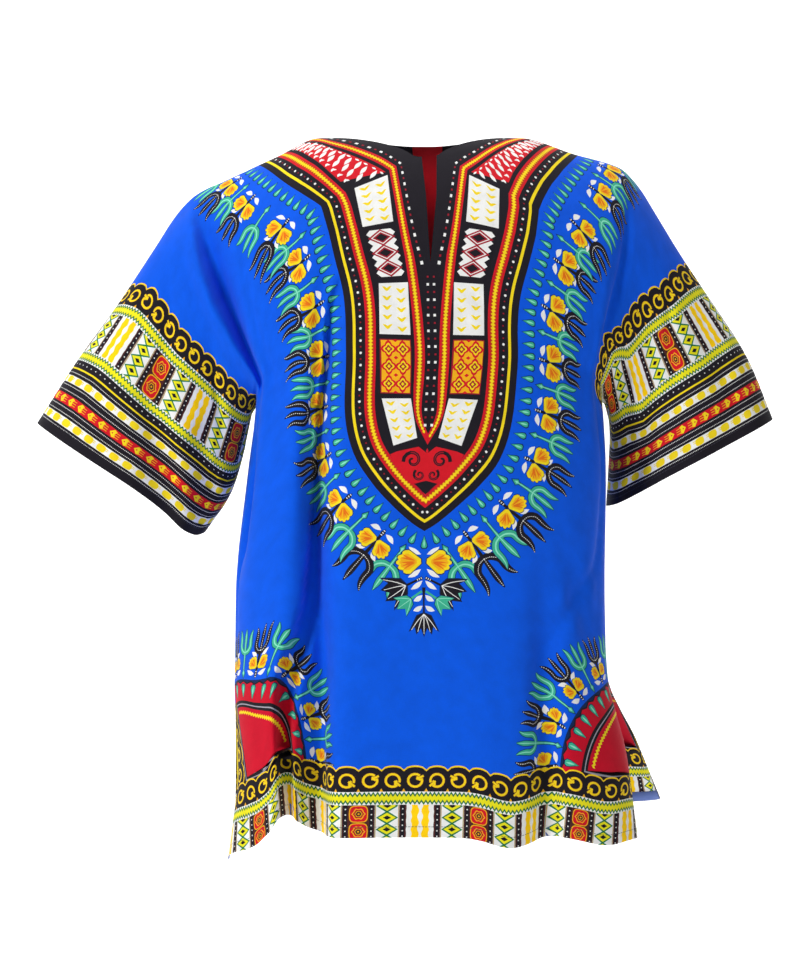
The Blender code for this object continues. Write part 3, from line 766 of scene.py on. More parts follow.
def left_half(places, corner):
    """The left half of an outline from its table, sharp at the corner."""
    places = np.array(places, dtype=float)
    upper, lower = curve(places[:corner + 1]), curve(places[corner:])
    return np.concatenate([upper[:-1], lower]) * (-1, 1)


def in_block(corners, u, v):
    """A place in a block: u from its outer to its inner side, v from top to bottom."""
    a, b, c, d = (np.array(corner, dtype=float) for corner in corners)
    u, v = np.reshape(u, (-1, 1)), np.reshape(v, (-1, 1))
    return (a * (1 - u) + b * u) * (1 - v) + (d * (1 - u) + c * u) * v


def serrated(half, near, width, ends=None):
    """The red band with a jagged yellow middle. Ends gives where it grows thinner."""
    thin = np.interp(half[:, 1], *ends) if ends else np.ones(len(half))
    ring_band(half, near, near + width * thin, "red")
    middle = around(half, near + width * thin / 2)
    for reach, tooth, dye in ((0.27, 0.14, "rust"), (0.21, 0.15, "orange"), (0.13, 0.17, "yellow")):
        toothed(middle, width * reach, width * tooth, 3.6, dye, ends)


def neck_ornament(cut_open):
    edge = left_half(BIB_EDGE, BIB_CORNER)
    inner = left_half(SLIT_BAND_EDGE, SLIT_CORNER)
    lay(around(edge, 0.0), "black", False)
    ring_band(edge, 7.4, 10.3, "yellow")
    dots = around(edge, 15.4)
    dots = dots[len(dots) // 2:]
    for k, place in enumerate(evenly(dots, 6.3, 3.0)):
        lay(placed(spot(2.0, 4) if k % 2 else spot(2.9, 6), place), "crimson" if k % 2 else "white")
    serrated(edge, 20.4, 10.8)
    scrolls()
    yoke(edge, inner)
    for kind, *corners in BLOCKS:
        block(kind, corners)
    # the serrated band beside the slit, and the squares on the black
    serrated(inner, 0.0, 10.4, ((320, 386), (1.0, 0.45)))
    squares = around(inner, 17.5)
    squares = squares[len(squares) // 2:]
    squares = squares[squares[:, 1] < 205]
    for k, place in enumerate(evenly(squares, 7.8, 4.0)):
        half = 1.3 if k % 2 else 1.9
        lay(placed(box(-half, -half * 0.85, half * 2, half * 1.7), place), "crimson" if k % 2 else "white")
    for k in range(20):
        y = 212 + 8.1 * k
        size = 2.6 if k % 2 else 1.9
        lay(box(3.4 - size / 2, y - size / 2, size, size), "white" if k % 2 else "crimson")
    if cut_open:
        lay([(-3, 30), (3, 30), (3, 64), (2.0, 120), (0, 196), (-2.0, 120), (-3, 64)], "cut", False)
    else:
        lay([(-19, -30), (19, -30), (18, 20), (15, 74), (12, 130), (0, 196), (-12, 130), (-15, 74),
             (-18, 20)], "red", False)


def yoke(edge, inner):
    """The red yoke over the shoulders, with rows of long white leaves."""
    outer, within = around(edge, 36.0), around(inner, -5.0)
    outer = outer[len(outer) // 2:]
    within = within[len(within) // 2:]
    outer, within = outer[outer[:, 1] < 109], within[within[:, 1] < 90]
    lay(np.concatenate([outer, within[::-1]]), "red")
    count = 15
    far, near = resampled(outer, np.linalg.norm(np.diff(outer, axis=0), axis=1).sum() / count)[:count], None
    near = resampled(within, np.linalg.norm(np.diff(within, axis=0), axis=1).sum() / count)[:count]
    for k in range(count):
        across_it = near[k] - far[k]
        length = np.linalg.norm(across_it)
        lean = np.arctan2(across_it[1], across_it[0])
        for share, size, turn in ((0.10, 5.6, 0.9), (0.14, 5.6, -0.3), (0.90, 5.6, 2.2)):
            lay(placed(leaf(size, 2.5) - (size / 2, 0), (*(far[k] + across_it * share), lean + turn)),
                "white")
        for share in (0.36, 0.66):
            shift = 0.0 if k % 2 else 0.05
            lay(placed(leaf(13.5, 4.6) - (6.7, 0), (*(far[k] + across_it * (share + shift)), lean + 0.75)),
                "white")


def block(kind, corners):
    sides = in_block(corners, (0, 1, 1, 0), (0, 0, 1, 1))
    if kind == "chevrons":
        lay(sides, "white")
        for column in (0.27, 0.74):
            for row in range(5):
                v = (row + 0.5 + 0.25 * (column > 0.5)) / 5.4
                u = column + np.array([-0.17, -0.08, 0, 0.08, 0.17, 0.05, 0, -0.05])
                rise = np.array([0, 0.005, 0.035, 0.005, 0, 0.085, 0.10, 0.085])
                lay(in_block(corners, u, v + rise - 0.03), "yellow")
    elif kind == "diamonds":
        lay(sides, "black")
        v = np.linspace(0.04, 0.96, 13)
        teeth = np.where(np.arange(13) % 2, 0.04, 0.17)
        lay(np.concatenate([in_block(corners, teeth, v), in_block(corners, 1 - teeth, v)[::-1]]), "white")
        for row in range(3):
            middle = 0.20 + 0.30 * row
            for size, dye in ((1.0, "crimson"), (0.78, "white"), (0.66, "crimson"), (0.46, "black")):
                lay(in_block(corners, (0.5 - 0.44 * size, 0.5, 0.5 + 0.44 * size, 0.5),
                             (middle, middle - 0.165 * size, middle, middle + 0.165 * size)), dye)
    else:
        lay(sides, "crimson")
        lay(in_block(corners, (0.03, 0.97, 0.97, 0.03), (0.02, 0.02, 0.98, 0.98)), "gold")
        turn = np.linspace(0, 2 * pi, 17)[:-1]
        for row in range(3):
            for column in range(2):
                u, v = 0.27 + 0.46 * column, 0.18 + 0.32 * row
                for size, dye in ((0.22, "red"), (0.15, "yellow"), (0.10, "crimson"), (0.045, "yellow")):
                    lobes = size * (1 + 0.22 * np.cos(4 * turn))
                    lay(in_block(corners, u + lobes * np.cos(turn), v + lobes * 0.62 * np.sin(turn)), dye)
            for v in (0.02, 0.34, 0.66, 0.98):
                lay(in_block(corners, (0.42, 0.5, 0.58, 0.5),
                             (v, max(v - 0.035, 0), v, min(v + 0.035, 1))), "red")


def scrolls():
    """The red heart below the slit, with its paired scrolls in black."""
    lay([(0, 395), (9, 388), (31, 393), (38, 396), (23, 421), (15, 427), (0, 423)], "red")
    for centre, size, way, wide in (((14.5, 402), 9.8, 1, 3.8), ((7, 417), 6.2, -1, 2.8)):
        turn = np.linspace(0.2, 8.4, 18)
        reach = size * (0.10 + 0.90 * turn / turn[-1])
        coil = np.column_stack([centre[0] - reach * np.cos(turn + 1.2 * way) * way,
                                centre[1] - reach * np.sin(turn + 1.2 * way)])
        stroke(coil, np.linspace(wide * 0.5, wide, 18), "black", steps=1)
        stroke(coil[6:15], np.linspace(0.5, 0.9, 9), "crimson", steps=1)
    for y, size in ((408, 4.4), (392.5, 3.0)):
        lay([(0, y - size), (size * 0.45, y), (0, y + size), (-size * 0.45, y)], "red", False)
    stroke([(0, 440), (5, 433), (11, 427)], (0.9, 0.9, 0.4), "crimson")


def flower_border():
    """Teal drops, then black and teal tulips by turns with flowers and leaves between."""
    edge = around(left_half(BIB_EDGE, BIB_CORNER), 0.0)
    half = edge[len(edge) // 2:]
    near = beside_line(half, -5.0)
    near = near[near[:, 0] > 3]
    for x, y, turn in evenly(near, 11.6, 3.0):
        teal_drop((x, y, turn + pi / 2))
    teal_drop((0, 480, pi / 2), both=False)
    smooth_edge = curve(half[::4])
    stems = beside_line(smooth_edge, -23.0 - np.interp(smooth_edge[:, 1], (25, 60, 95, 135), (0, 4.5, 8, 0)))
    stems = resampled(stems[stems[:, 0] > 12], 1.0)
    at, k = 7, 0
    while at < len(stems) - 1:
        x, y = stems[at]
        before, after = stems[max(at - 25, 0)], stems[min(at + 25, len(stems) - 1)]
        out = np.arctan2(*(after - before)[::-1]) + pi / 2
        small = 1.0 - 0.13 * np.clip((y - 120) / 60, 0, 1) * np.clip((440 - y) / 40, 0, 1)
        wide = 1.0 + 0.30 * np.clip((y - 420) / 50, 0, 1)
        if k % 2 == 0:
            tulip(placed_at((x, y, out), 26 * small, 0), "teal", 0.90 * small, 21 * small, wide=wide)
        else:
            black_spray((x, y, out), small, wide=wide)
        at += int(26 if y > 330 else 28 if y > 165 else 32 if y > 100 else 24)
        k += 1


def black_spray(place, size=1.0, flowers=20.0, wide=1.0):
    """A black tulip with two blossoms and four white leaves on its stem."""
    tulip(placed_at(place, 33 * size, 0), "black", size, 28 * size, wide=wide)
    for way in (1, -1):
        lay(placed(leaf(12.5, 5.4, 1.0 * way), placed_at(place, 3.0, 3.4 * way, 1.35 * way)), "white")
        lay(placed(leaf(12.5, 5.0, -1.0 * way), placed_at(place, 24 * size, 3.4 * way, 0.95 * way)), "white")
        shell_flower(placed_at(place, 12.5 * size, 1.5 * way, 1.0 * way), flowers)


def placed_at(place, forward, sideways, turn=0.0):
    """A place further on: forward and sideways of another, and turned from it."""
    x, y = placed([(forward, sideways)], place)[0]
    return x, y, place[2] + turn


def pointed_spray():
    """The spray that ends the border at its lowest point."""
    for x, y, turn, size in ((3, 499, -0.55, 15), (3, 514, 0.58, 16), (1.5, 526, 0.66, 15),
                             (1.5, 541, 0.60, 11), (1.5, 552, 0.50, 11)):
        lay(placed(leaf(size, 5.2, 0.8), (x, y, turn)), "white")
    shell_flower((3.0, 506, 0.06), 26)
    stroke([(1.5, 523), (10, 527), (19, 531.5)], (3.4, 2.2, 2.6), "black")
    for k in range(3):
        lay(placed(box(-0.4, -0.9, 0.8, 1.8), (2.6 + 2.0 * k, 523.4 + 0.9 * k, 0.4)), "white")
    cup((18, 531, 0.42), "black", 28, 4)
    stroke([(2, 537), (8, 541), (14, 545.5)], (2.6, 2.2, 3.0), "teal")
    cup((13, 545, 0.62), "teal", 18.5, 3)
    stroke([(0, 533), (0, 547), (0, 562)], (3.6, 1.6, 2.2), "black", both=False)
    cup((0, 560, pi / 2), "black", 24, 5, both=False)


# The borders. The hem's runs along x; the sleeves' has the same pieces from
# their scalloped edge to the cuff, stretched to each sleeve.
REPEAT = (("strip", 6.5), ("ikat", 28), ("strip", 6.5), ("lozenges", 24),
          ("strip", 6.5), ("rosettes", 18), ("strip", 6.5), ("lozenges", 24))


def bar(frame, start, end, near, far, dye):
    along = np.linspace(start, end, 41)
    lay(frame(np.concatenate([np.column_stack([along, np.full(41, near)]),
                              np.column_stack([along, np.full(41, far)])[::-1]])), dye, False)


def scalloped(frame, start, end, pitch=21.7):
    """Black border with a yellow scalloped edge, ring-and-hook curls and little points."""
    def lie(points, dye):
        lay(frame(np.asarray(points, dtype=float)), dye, False)
    count = int(round((end - start) / pitch))
    pitch = (end - start) / count
    bar(frame, start, end, 3.2, 27.7, "black")
    t = np.linspace(0, 1, 7)[:-1]
    bumps = np.concatenate([np.column_stack([start + (k + t) * pitch / 1.0,
                                             3.6 - 4.4 * np.sqrt(np.sin(pi * t))])
                            for k in range(count)])
    bumps = np.concatenate([bumps, [(end, 3.6)]])
    lie(np.concatenate([bumps, [(end, 6.0)], np.column_stack([np.linspace(end, start, 41),
                                                              np.full(41, 6.0)])[1:]]), "black")
    for shift, dye in ((0.0, "gold"), (0.35, "yellow")):
        top, low = bumps + (0, shift), bumps + (0, 1.8 - shift)
        lie(np.concatenate([top, low[::-1]]), dye)
    for k in range(count):
        middle = start + (k + 0.5) * pitch
        way = 1 if middle < 0 else -1
        lean = (0.62 if k % 2 else -0.55)
        turn = np.linspace(lean + 0.22, lean + 2 * pi - 0.30, 15)
        ring = np.column_stack([way * 6.9 * np.cos(turn), 6.5 * np.sin(turn)])
        tail = np.array([(9.6, 0.3), (6.2, 0.0), (1.6, -0.3)])
        bar_in = np.array([(4.9, 2.6), (3.4, 0.0), (3.8, -2.4)])
        paths = [(ring, np.ones(15), 1)]
        for path in (tail, bar_in):
            c, s = np.cos(lean), np.sin(lean)
            path = np.column_stack([way * (path[:, 0] * c - path[:, 1] * s), path[:, 0] * s + path[:, 1] * c])
            paths.append((path, np.array((0.9, 1, 0.8)), 2))
        for width, dye in ((2.5, "gold"), (1.5, "yellow")):
            for path, taper, steps in paths:
                shape = curve(np.column_stack([path + (middle, 14.6), width * taper]), steps)
                lie(np.concatenate([beside_line(shape[:, :2], shape[:, 2] / 2),
                                    beside_line(shape[:, :2], -shape[:, 2] / 2)[::-1]]), dye)
        lie([(middle + pitch / 2 - 2.0, 26.4), (middle + pitch / 2, 22.6),
             (middle + pitch / 2 + 2.0, 26.4)], "gold")


def zigzag(frame, start, end, top, height):
    """White with green saw teeth and a yellow middle."""
    def lie(points, dye):
        lay(frame(np.asarray(points, dtype=float)), dye, False)
    bar(frame, start, end, top, top + height, "white")
    count = int(round((end - start) / 2.15)) // 2 * 2
    x = np.linspace(start, end, count + 1)
    wave = np.where(np.arange(count + 1) % 2, 1.0, -1.0)
    middle = top + height / 2
    for reach, swing, dye in ((0.39, 0.12, "green"), (0.21, 0.12, "lime")):
        high = np.column_stack([x, middle - height * (reach + swing * wave)])
        low = np.column_stack([x, middle + height * (reach - swing * wave)])
        lie(np.concatenate([high, low[::-1]]), dye)


def block_row(frame, start, end, top, height, first=0.0):
    """Blocks by turns: wavy yellow on white, lozenges and red rosettes, between dotted strips."""
    def lie(points, dye):
        lay(frame(np.asarray(points, dtype=float)), dye, False)
    bar(frame, start, end, top, top + height, "white")
    x, k = start - first, 0
    bottom = top + height
    while x < end:
        kind, width = REPEAT[k % len(REPEAT)]
        k += 1
        draw_block(kind, x, width, top, bottom, lie)
        x += width


def draw_block(kind, x, width, top, bottom, lie):
    height = bottom - top
    middle = x + width / 2
    if kind == "strip":
        lie(box(x, top, width, height), "brown")
        lie(box(x + 1.2, top, width - 2.4, height), "black")
        for y in np.arange(top + 3.5, bottom - 2, 5.6):
            lie(box(middle - 0.6, y, 1.2, 1.2), "white")
    elif kind == "ikat":
        t = np.linspace(0, 1, 22)
        ripple = 1.5 * np.abs(np.sin(t * height / 9.0 * pi + 0.6))
        for way in (1, -1):
            side = np.column_stack([middle + way * (width / 2 - 0.4 * ripple), top + t * height])
            lie(np.concatenate([side, [(x + width * (way > 0), bottom), (x + width * (way > 0), top)]]),
                "brown")
            near = np.column_stack([middle + way * (1.9 + 0.9 * np.cos(t * height / 12.0 * 2 * pi)),
                                    top + t * height])
            far = np.column_stack([middle + way * (9.4 - 0.9 * ripple), top + t * height])
            lie(np.concatenate([near, far[::-1]]), "gold yellow")
    elif kind == "lozenges":
        lie(box(x, top, width, height), "aqua")
        for edge in (x + 0.2, x + width - 1.1):
            lie(box(edge, top, 0.9, height), "tan")
        lie(box(x + 1.1, top, width - 2.2, height), "white")
        for wide, tall, dye in ((11.2, 7.4, "aqua"), (10.8, 6.9, "green"), (8.6, 5.0, "lime"),
                                (4.0, 2.2, "black")):
            for y in np.arange(top + 1.0, bottom + 5.0, 12.0):
                if y - tall < bottom - 0.3:
                    heights = np.clip((y - tall, y, y + tall), top, bottom)
                    spread = wide * (1 - np.abs(heights - y) / tall)
                    lie(np.concatenate([np.column_stack([middle - spread, heights]),
                                        np.column_stack([middle + spread, heights])[::-1]]), dye)
    else:
        lie(box(x, top, width, height), "brown")
        count = max(1, int(round(height / 19.0)))
        step = height / count
        for k in range(count):
            y = top + (k + 0.5) * step
            turn = np.linspace(0, 2 * pi, 17)[:-1]
            square = np.column_stack([np.cos(turn), np.sin(turn)])
            square = np.sign(square) * np.abs(square) ** 0.55
            for grow, dye in ((1.0, "gold"), (0.90, "red")):
                lie(square * (width / 2 * grow, step / 2 * grow * 0.98) + (middle, y), dye)
            lobes = (1 + 0.14 * np.cos(6 * turn))[:, None]
            for size, dye in ((5.9, "gold"), (4.9, "red"), (3.9, "brown"), (3.3, "gold"), (2.6, "brown"),
                              (0.9, "gold")):
                lie(np.column_stack([np.cos(turn), np.sin(turn)]) * size * lobes * (1, min(step / 19.0, 1.1)) + (middle, y), dye)


def hem_border(reach, length):
    """The border along the hem, up to the side edges."""
    top = length - 73.0
    scalloped(lambda p: p + (0, top), -reach, reach)
    zigzag(lambda p: p + (0, top), -reach, reach, 26.0, 13.5)
    block_row(lambda p: p + (0, top), -180, reach, 39.5, 36.0, 85.7)
    block_row(lambda p: p + (0, top), -reach, -180, 39.5, 36.0, 111.5)


def sleeve_border(starts, cuff, front_reach, back_reach):
    """The border of a sleeve, from its scalloped edge (starts: distance round, place) to the cuff."""
    round_it, places = np.array(starts).T

    def frame(points):
        begin = np.interp(np.abs(points[:, 0]), round_it, places)
        depth = points[:, 1] / 180.0
        return np.column_stack([begin + depth * (cuff + 3 - begin), points[:, 0]])

    def line_at(near, far, dye):
        bar(frame, -back_reach, front_reach, near, far, dye)

    def dots(at, pitch, size, dye):
        for y in np.arange(-back_reach + 2, front_reach - 1, pitch):
            lay(frame(np.array(box(y, at - size / 2, size * 1.3, size))), dye, False)

    line_at(6, 186, "black")
    scalloped(frame, -back_reach, front_reach)
    zigzag(frame, -back_reach, front_reach, 26.0, 13.0)
    block_row(frame, -back_reach, front_reach, 39.0, 46.0, 30.0)
    zigzag(frame, -back_reach, front_reach, 85.0, 12.0)
    dots(101.0, 7.5, 1.1, "white")
    line_at(105.5, 107.3, "yellow")
    for at in (111.5, 125.8, 131.3, 147.3, 152.6, 166.8):
        dots(at, 1.9, 0.75, "white")
    for near, far in ((115.0, 123.0), (155.5, 164.0)):
        line_at(near, far, "white")
        for k, y in enumerate(np.arange(-back_reach + 3, front_reach - 10, 16.3)):
            turn = np.linspace(0, 2 * pi, 13)[:-1]
            blob = np.column_stack([5.4 * np.sign(np.cos(turn)) * np.abs(np.cos(turn)) ** 0.7,
                                    (far - near) * 0.47 * np.sign(np.sin(turn)) * np.abs(np.sin(turn)) ** 0.6])
            lay(frame(blob + (y + 6, (near + far) / 2)), "yellow", False)
            for reach in (0.22, 0.42):
                lay(frame(np.array(box(y + 9.5, near + (far - near) * reach, 4.5, 0.8))), "yellow", False)
    line_at(134.5, 144.5, "red")
    for y in np.arange(-back_reach + 3, front_reach - 12, 15.2):
        arrow = np.array([(0, 139.5), (4.2, 135.3), (8.0, 136.3), (6.2, 139.5), (8.0, 142.7), (4.2, 143.7)])
        lay(frame(arrow + (y, 0)), "yellow", False)
        for line in (136.9, 139.3, 141.7):
            lay(frame(np.array(box(y + 6.0, line, 6.2, 0.7))), "gold", False)
    for y in np.arange(-back_reach + 3, front_reach - 12, 15.2):
        lay(frame(np.array([(y + 2.0, 139.5), (y + 4.0, 138.5), (y + 4.0, 140.5)])), "red", False)


# The quarter fans printed in the hem's corners
FAN_CENTRE = (264.0, 719.0)


def corner_fan(length):
    cx, cy = FAN_CENTRE
    def arc(radius, start=-0.05, end=pi / 2 + 0.05, count=26):
        turn = np.linspace(start, end, count)
        return np.column_stack([cx - radius * np.cos(turn), cy - radius * np.sin(turn)])
    lay(np.concatenate([arc(117.5), [(cx + 1, cy - 40), (cx, cy)]]), "navy")
    scallops = arc(115.0, count=27)
    wave = np.where(np.arange(27) % 2, 1.6, -1.2)
    scallops += (scallops - (cx, cy)) / 115.0 * wave[:, None]
    lay(np.concatenate([scallops, [(cx + 1, cy - 40), (cx, cy)]]), "black")
    lay(np.concatenate([scallops * 0.985 + np.array((cx, cy)) * 0.015, [(cx + 1, cy - 40), (cx, cy)]]),
        "deep red")
    for turn in np.linspace(0.08, pi / 2 - 0.10, 9):
        at = (cx - 97.0 * np.cos(turn), cy - 97.0 * np.sin(turn), pi + turn)
        teal_drop(at, 15.5, 7.0)
    lay(np.concatenate([arc(93.5), [(cx + 30, cy - 93), (cx + 30, cy)]]), "black")
    lay(np.concatenate([arc(90.0, 0.03, pi / 2 - 0.02), [(cx - 2, cy - 2)]]), "grey")
    lay(np.concatenate([arc(88.8, 0.045, pi / 2 - 0.035), [(cx - 3.2, cy - 3.2)]]), "black")
    lay(np.concatenate([arc(86.0, 0.06, pi / 2 - 0.05), [(cx - 5.5, cy - 5.5)]]), "deep red")
    zig = arc(80.0, 0.12, pi / 2 - 0.10, 45)
    stripe_both(zig, 1.5)
    for k, turn in enumerate(np.linspace(0.02, pi / 2 + 0.10, 10)):
        at = (cx - 122.0 * np.cos(turn), cy - 122.0 * np.sin(turn), pi + turn)
        if k % 2:
            tulip(placed_at(at, 25, 0), "teal", 0.76, 22)
        else:
            black_spray(placed_at(at, -1, 0), 0.78, 15.5)
    # the curled border runs up beside the slit
    side_band(cx + 1.5, cy - 96, cy)


def stripe_both(line, half):
    line = resampled(line, 2.2)
    wave = np.where(np.arange(len(line)) % 2, 0.9, -0.9)
    lay(np.concatenate([beside_line(line, wave - half), beside_line(line, wave + half)[::-1]]), "yellow")


def side_band(x, top, bottom):
    for way in (1, -1):
        before = len(drawing)
        scalloped(lambda p: np.column_stack([way * (x + p[:, 1]), p[:, 0]]), top, bottom, 21.7)
        lay([(way * (x + 26), top), (way * (x + 40), top), (way * (x + 40), bottom),
             (way * (x + 26), bottom)], "yellow", False)


# Creases that the plain solids leave out, worked into the fine grids: each
# runs through places on the flat cloth in millimetres, with its depth and width there
CREASES = {
    -1: (
        # pulls from the shoulders and the underarms
        (((-330, 60), 0.0, 9), ((-334, 100), -4.0, 10), ((-340, 150), -4.0, 11), ((-345, 200), 0.0, 11)),
        (((-262, 60), 0.0, 12), ((-262, 120), 3.0, 14), ((-250, 200), 4.0, 16), ((-222, 270), 4.5, 15),
         ((-205, 340), 3.0, 15), ((-196, 430), 0.0, 16)),
        (((-222, 90), 0.0, 9), ((-224, 150), -2.2, 10), ((-212, 230), -2.6, 11), ((-196, 300), 0.0, 12)),
        (((-250, 300), -1.0, 7), ((-254, 350), -9.0, 8), ((-255, 420), -12.0, 8), ((-257, 470), -9.0, 8),
         ((-256, 540), -3.0, 9), ((-252, 600), 0.0, 9)),
        (((250, 60), 0.0, 8), ((258, 97), -4.0, 11), ((264, 140), -6.5, 13), ((256, 200), -6.0, 14),
         ((238, 262), -2.0, 12), ((222, 310), 0.0, 9)),
        (((230, 160), 0.0, 12), ((214, 240), 3.0, 13), ((196, 330), 2.4, 14), ((185, 430), 0.0, 14)),
        (((236, 300), -0.5, 7), ((225, 350), -4.0, 8), ((214, 420), -4.0, 8), ((205, 500), -2.4, 9),
         ((200, 560), 0.0, 9)),
        (((210, 466), 0.0, 6), ((185, 505), -2.6, 7), ((154, 559), -3.6, 9), ((132, 600), 0.0, 9)),
        (((221, 430), 0.0, 6), ((200, 480), -2.0, 7), ((180, 520), 0.0, 7)),
        (((150, 420), 0.0, 12), ((146, 520), -2.2, 13), ((136, 600), -4.0, 13), ((131, 660), -6.0, 12),
         ((134, 720), -6.0, 12), ((136, 785), -5.0, 13)),
        (((60, 560), 0.0, 16), ((62, 640), 1.4, 18), ((60, 740), 2.2, 20), ((58, 788), 2.4, 20)),
        (((0, 600), 0.0, 16), ((-8, 680), -1.2, 18), ((-14, 740), -1.8, 18), ((-18, 788), -2.2, 18)),
        # where it was folded in its packing
        (((-118, 610), 0.0, 2.0), ((-60, 609), -0.5, 2.0), ((40, 611), -0.5, 2.0), ((120, 610), 0.0, 2.0)),
        (((-110, 668), 0.0, 2.0), ((-40, 666), -0.4, 2.0), ((60, 667), -0.4, 2.0), ((125, 665), 0.0, 2.0)),
    ),
    1: (
        (((-120, 180), 0.0, 12), ((-128, 320), -2.4, 13), ((-140, 480), -3.6, 14), ((-150, 640), -4.0, 14),
         ((-158, 785), -3.0, 15)),
        (((108, 220), 0.0, 12), ((118, 360), -2.6, 13), ((126, 520), -3.8, 14), ((140, 680), -3.4, 14),
         ((146, 785), -2.4, 15)),
        (((-10, 120), 0.0, 16), ((-16, 300), -1.6, 18), ((-8, 480), -2.2, 18), ((4, 640), -1.6, 18),
         ((10, 785), -1.2, 18)),
        (((-262, 80), 0.0, 9), ((-266, 140), -3.0, 10), ((-258, 220), -3.0, 11), ((-238, 300), 0.0, 10)),
        (((262, 70), 0.0, 9), ((266, 130), -3.2, 10), ((262, 210), -3.0, 11), ((240, 295), 0.0, 10)),
        (((-222, 330), 0.0, 8), ((-210, 420), -2.2, 9), ((-204, 520), -2.4, 10), ((-208, 640), 0.0, 10)),
        (((224, 320), 0.0, 8), ((212, 410), -2.4, 9), ((204, 530), -2.0, 10), ((206, 660), 0.0, 10)),
        (((60, 100), 0.0, 9), ((20, 128), -1.6, 10), ((-40, 132), -1.2, 10), ((-90, 110), 0.0, 9)),
    ),
    "right": (
        (((-345, 60), 0.0, 8), ((-375, 95), -2.8, 9), ((-405, 112), -3.2, 10), ((-470, 140), -2.0, 11),
         ((-560, 170), -0.8, 12)),
        (((-350, 168), -1.0, 8), ((-380, 190), -3.0, 8), ((-420, 216), -2.6, 9), ((-500, 235), -1.2, 10)),
        (((-360, 30), 0.0, 12), ((-440, 60), 1.6, 14), ((-520, 90), 1.0, 14)),
        (((-350, -80), 0.0, 9), ((-390, -120), -3.0, 10), ((-450, -150), -2.4, 10), ((-540, -170), -0.8, 12)),
        (((-356, -190), -1.0, 8), ((-400, -215), -2.6, 9), ((-480, -240), -1.0, 10)),
    ),
    "left": (
        (((345, 50), 0.0, 8), ((372, 92), -2.6, 9), ((410, 118), -3.0, 10), ((480, 140), -1.6, 11),
         ((555, 150), -0.6, 12)),
        (((335, 175), -1.0, 7), ((370, 196), -2.8, 8), ((440, 210), -2.2, 9), ((520, 215), -0.8, 10)),
        (((360, 20), 0.0, 12), ((430, 40), 1.4, 14), ((520, 60), 0.8, 14)),
        (((350, -90), 0.0, 9), ((385, -125), -2.8, 10), ((440, -158), -2.2, 10), ((530, -180), -0.8, 12)),
        (((350, -200), -1.0, 8), ((395, -222), -2.4, 9), ((470, -245), -1.0, 10)),
    ),
}


def smooth_normals(grid):
    down, along = np.gradient(grid, axis=0), np.gradient(grid, axis=1)
    normal = np.cross(along, down)
    return normal / np.maximum(np.linalg.norm(normal, axis=2, keepdims=True), 1e-12)


OUTWARD = {-1: -1, 1: 1, "right": 1, "left": -1}
# Deep folds, with a sharp lip and a steep drop beside it: down, out to the lip, fall,
# width of the drop, start of the rise, width of the rise, rise of the far side
LAPS = (
    ((204, -96, 0, 4, 6, 20, 0), (214, -99, 4, 4, 6, 20, 0), (233, -107, 9, 4, 6, 20, 0),
     (265, -114, 13, 4, 6, 22, 0),
     (300, -120, 15, 4, 6, 24, 0), (389, -129, 17, 4, 6, 28, 0), (440, -131, 18, 4, 7, 32, 0),
     (480, -134, 18, 4, 7, 34, 0),
     (545, -147, 20, 5, 8, 24, 1), (585, -163, 20, 7, 12, 20, 4), (631, -183, 20, 10, 20, 12, 9),
     (699, -200, 19, 14, 24, 8, 14),
     (760, -206, 17, 15, 24, 7, 14), (792, -208, 15, 16, 24, 7, 13)),
    ((20, -294, 0, 14, 12, 60, 0), (46, -298, 10, 16, 14, 60, 0), (98, -311, 26, 24, 22, 60, 0),
     (146, -318, 36, 32, 32, 56, 0),
     (200, -312, 32, 38, 38, 50, 0), (255, -294, 16, 34, 34, 44, 0), (300, -278, 0, 28, 28, 40, 0)),
)


def eased(share):
    share = np.clip(share, 0, 1)
    return share ** 2 * (3 - 2 * share)


def lapped(places, table):
    """How far a deep fold pushes the cloth out, in millimetres."""
    table = np.array(table, dtype=float)
    known = [np.interp(places[..., 1], table[:, 0], table[:, k]) for k in range(1, 7)]
    lip, fall, wide, start, rise, far_side = known
    fall = np.where(places[..., 1] < table[0, 0], 0.0, fall)
    beyond = places[..., 0] - lip
    ahead = np.where(beyond < 0, np.exp(-(beyond / 30) ** 2), 1 - eased(beyond / wide))
    climbed = eased((beyond - start) / rise)
    after = np.exp(-(np.maximum(beyond - start - rise, 0) / 75) ** 2)
    return fall * (0.35 * ahead - 0.75 * (eased(beyond / wide) - climbed)) + far_side * climbed * after


for key, creases in CREASES.items():
    places, push = on_flat[key] * 1000, np.zeros(on_flat[key].shape[:2])
    for crease in creases:
        table = np.array([(x, y, depth, width) for (x, y), depth, width in crease], dtype=float)
        line = between(table, 10)
        span = places[..., None, :] - line[None, None, :, :2]
        gap = np.linalg.norm(span, axis=3)
        nearest = gap.argmin(axis=2)
        gap, depth, width = gap.min(axis=2), line[nearest, 2], line[nearest, 3]
        push += depth * np.exp(-(gap / width) ** 2)
    cloth[key] = cloth[key] + smooth_normals(cloth[key]) * (push * OUTWARD[key] / 1000)[..., None]
for key, table in ((-1, LAPS[0]), (-1, LAPS[1]), ("right", LAPS[1])):
    cloth[key][..., 1] -= lapped(on_flat[key] * 1000, table) / 1000

# Near the hem the front slides together into its fold, and its corner hangs lower
across_mm, down_mm = on_flat[-1][..., 0] * 1000, on_flat[-1][..., 1] * 1000
nearer = eased((down_mm - 590) / 130)
slide = np.interp(across_mm, (-262, -220, -196, -150, -118, -60, 0), (11, 5, -2, -14, -10, -3, 0))
cloth[-1][..., 0] += slide * nearer / 1000
cloth[-1][..., 2] -= np.interp(across_mm, (-262, -235), (5, 0)) * eased((down_mm - 700) / 90) / 1000

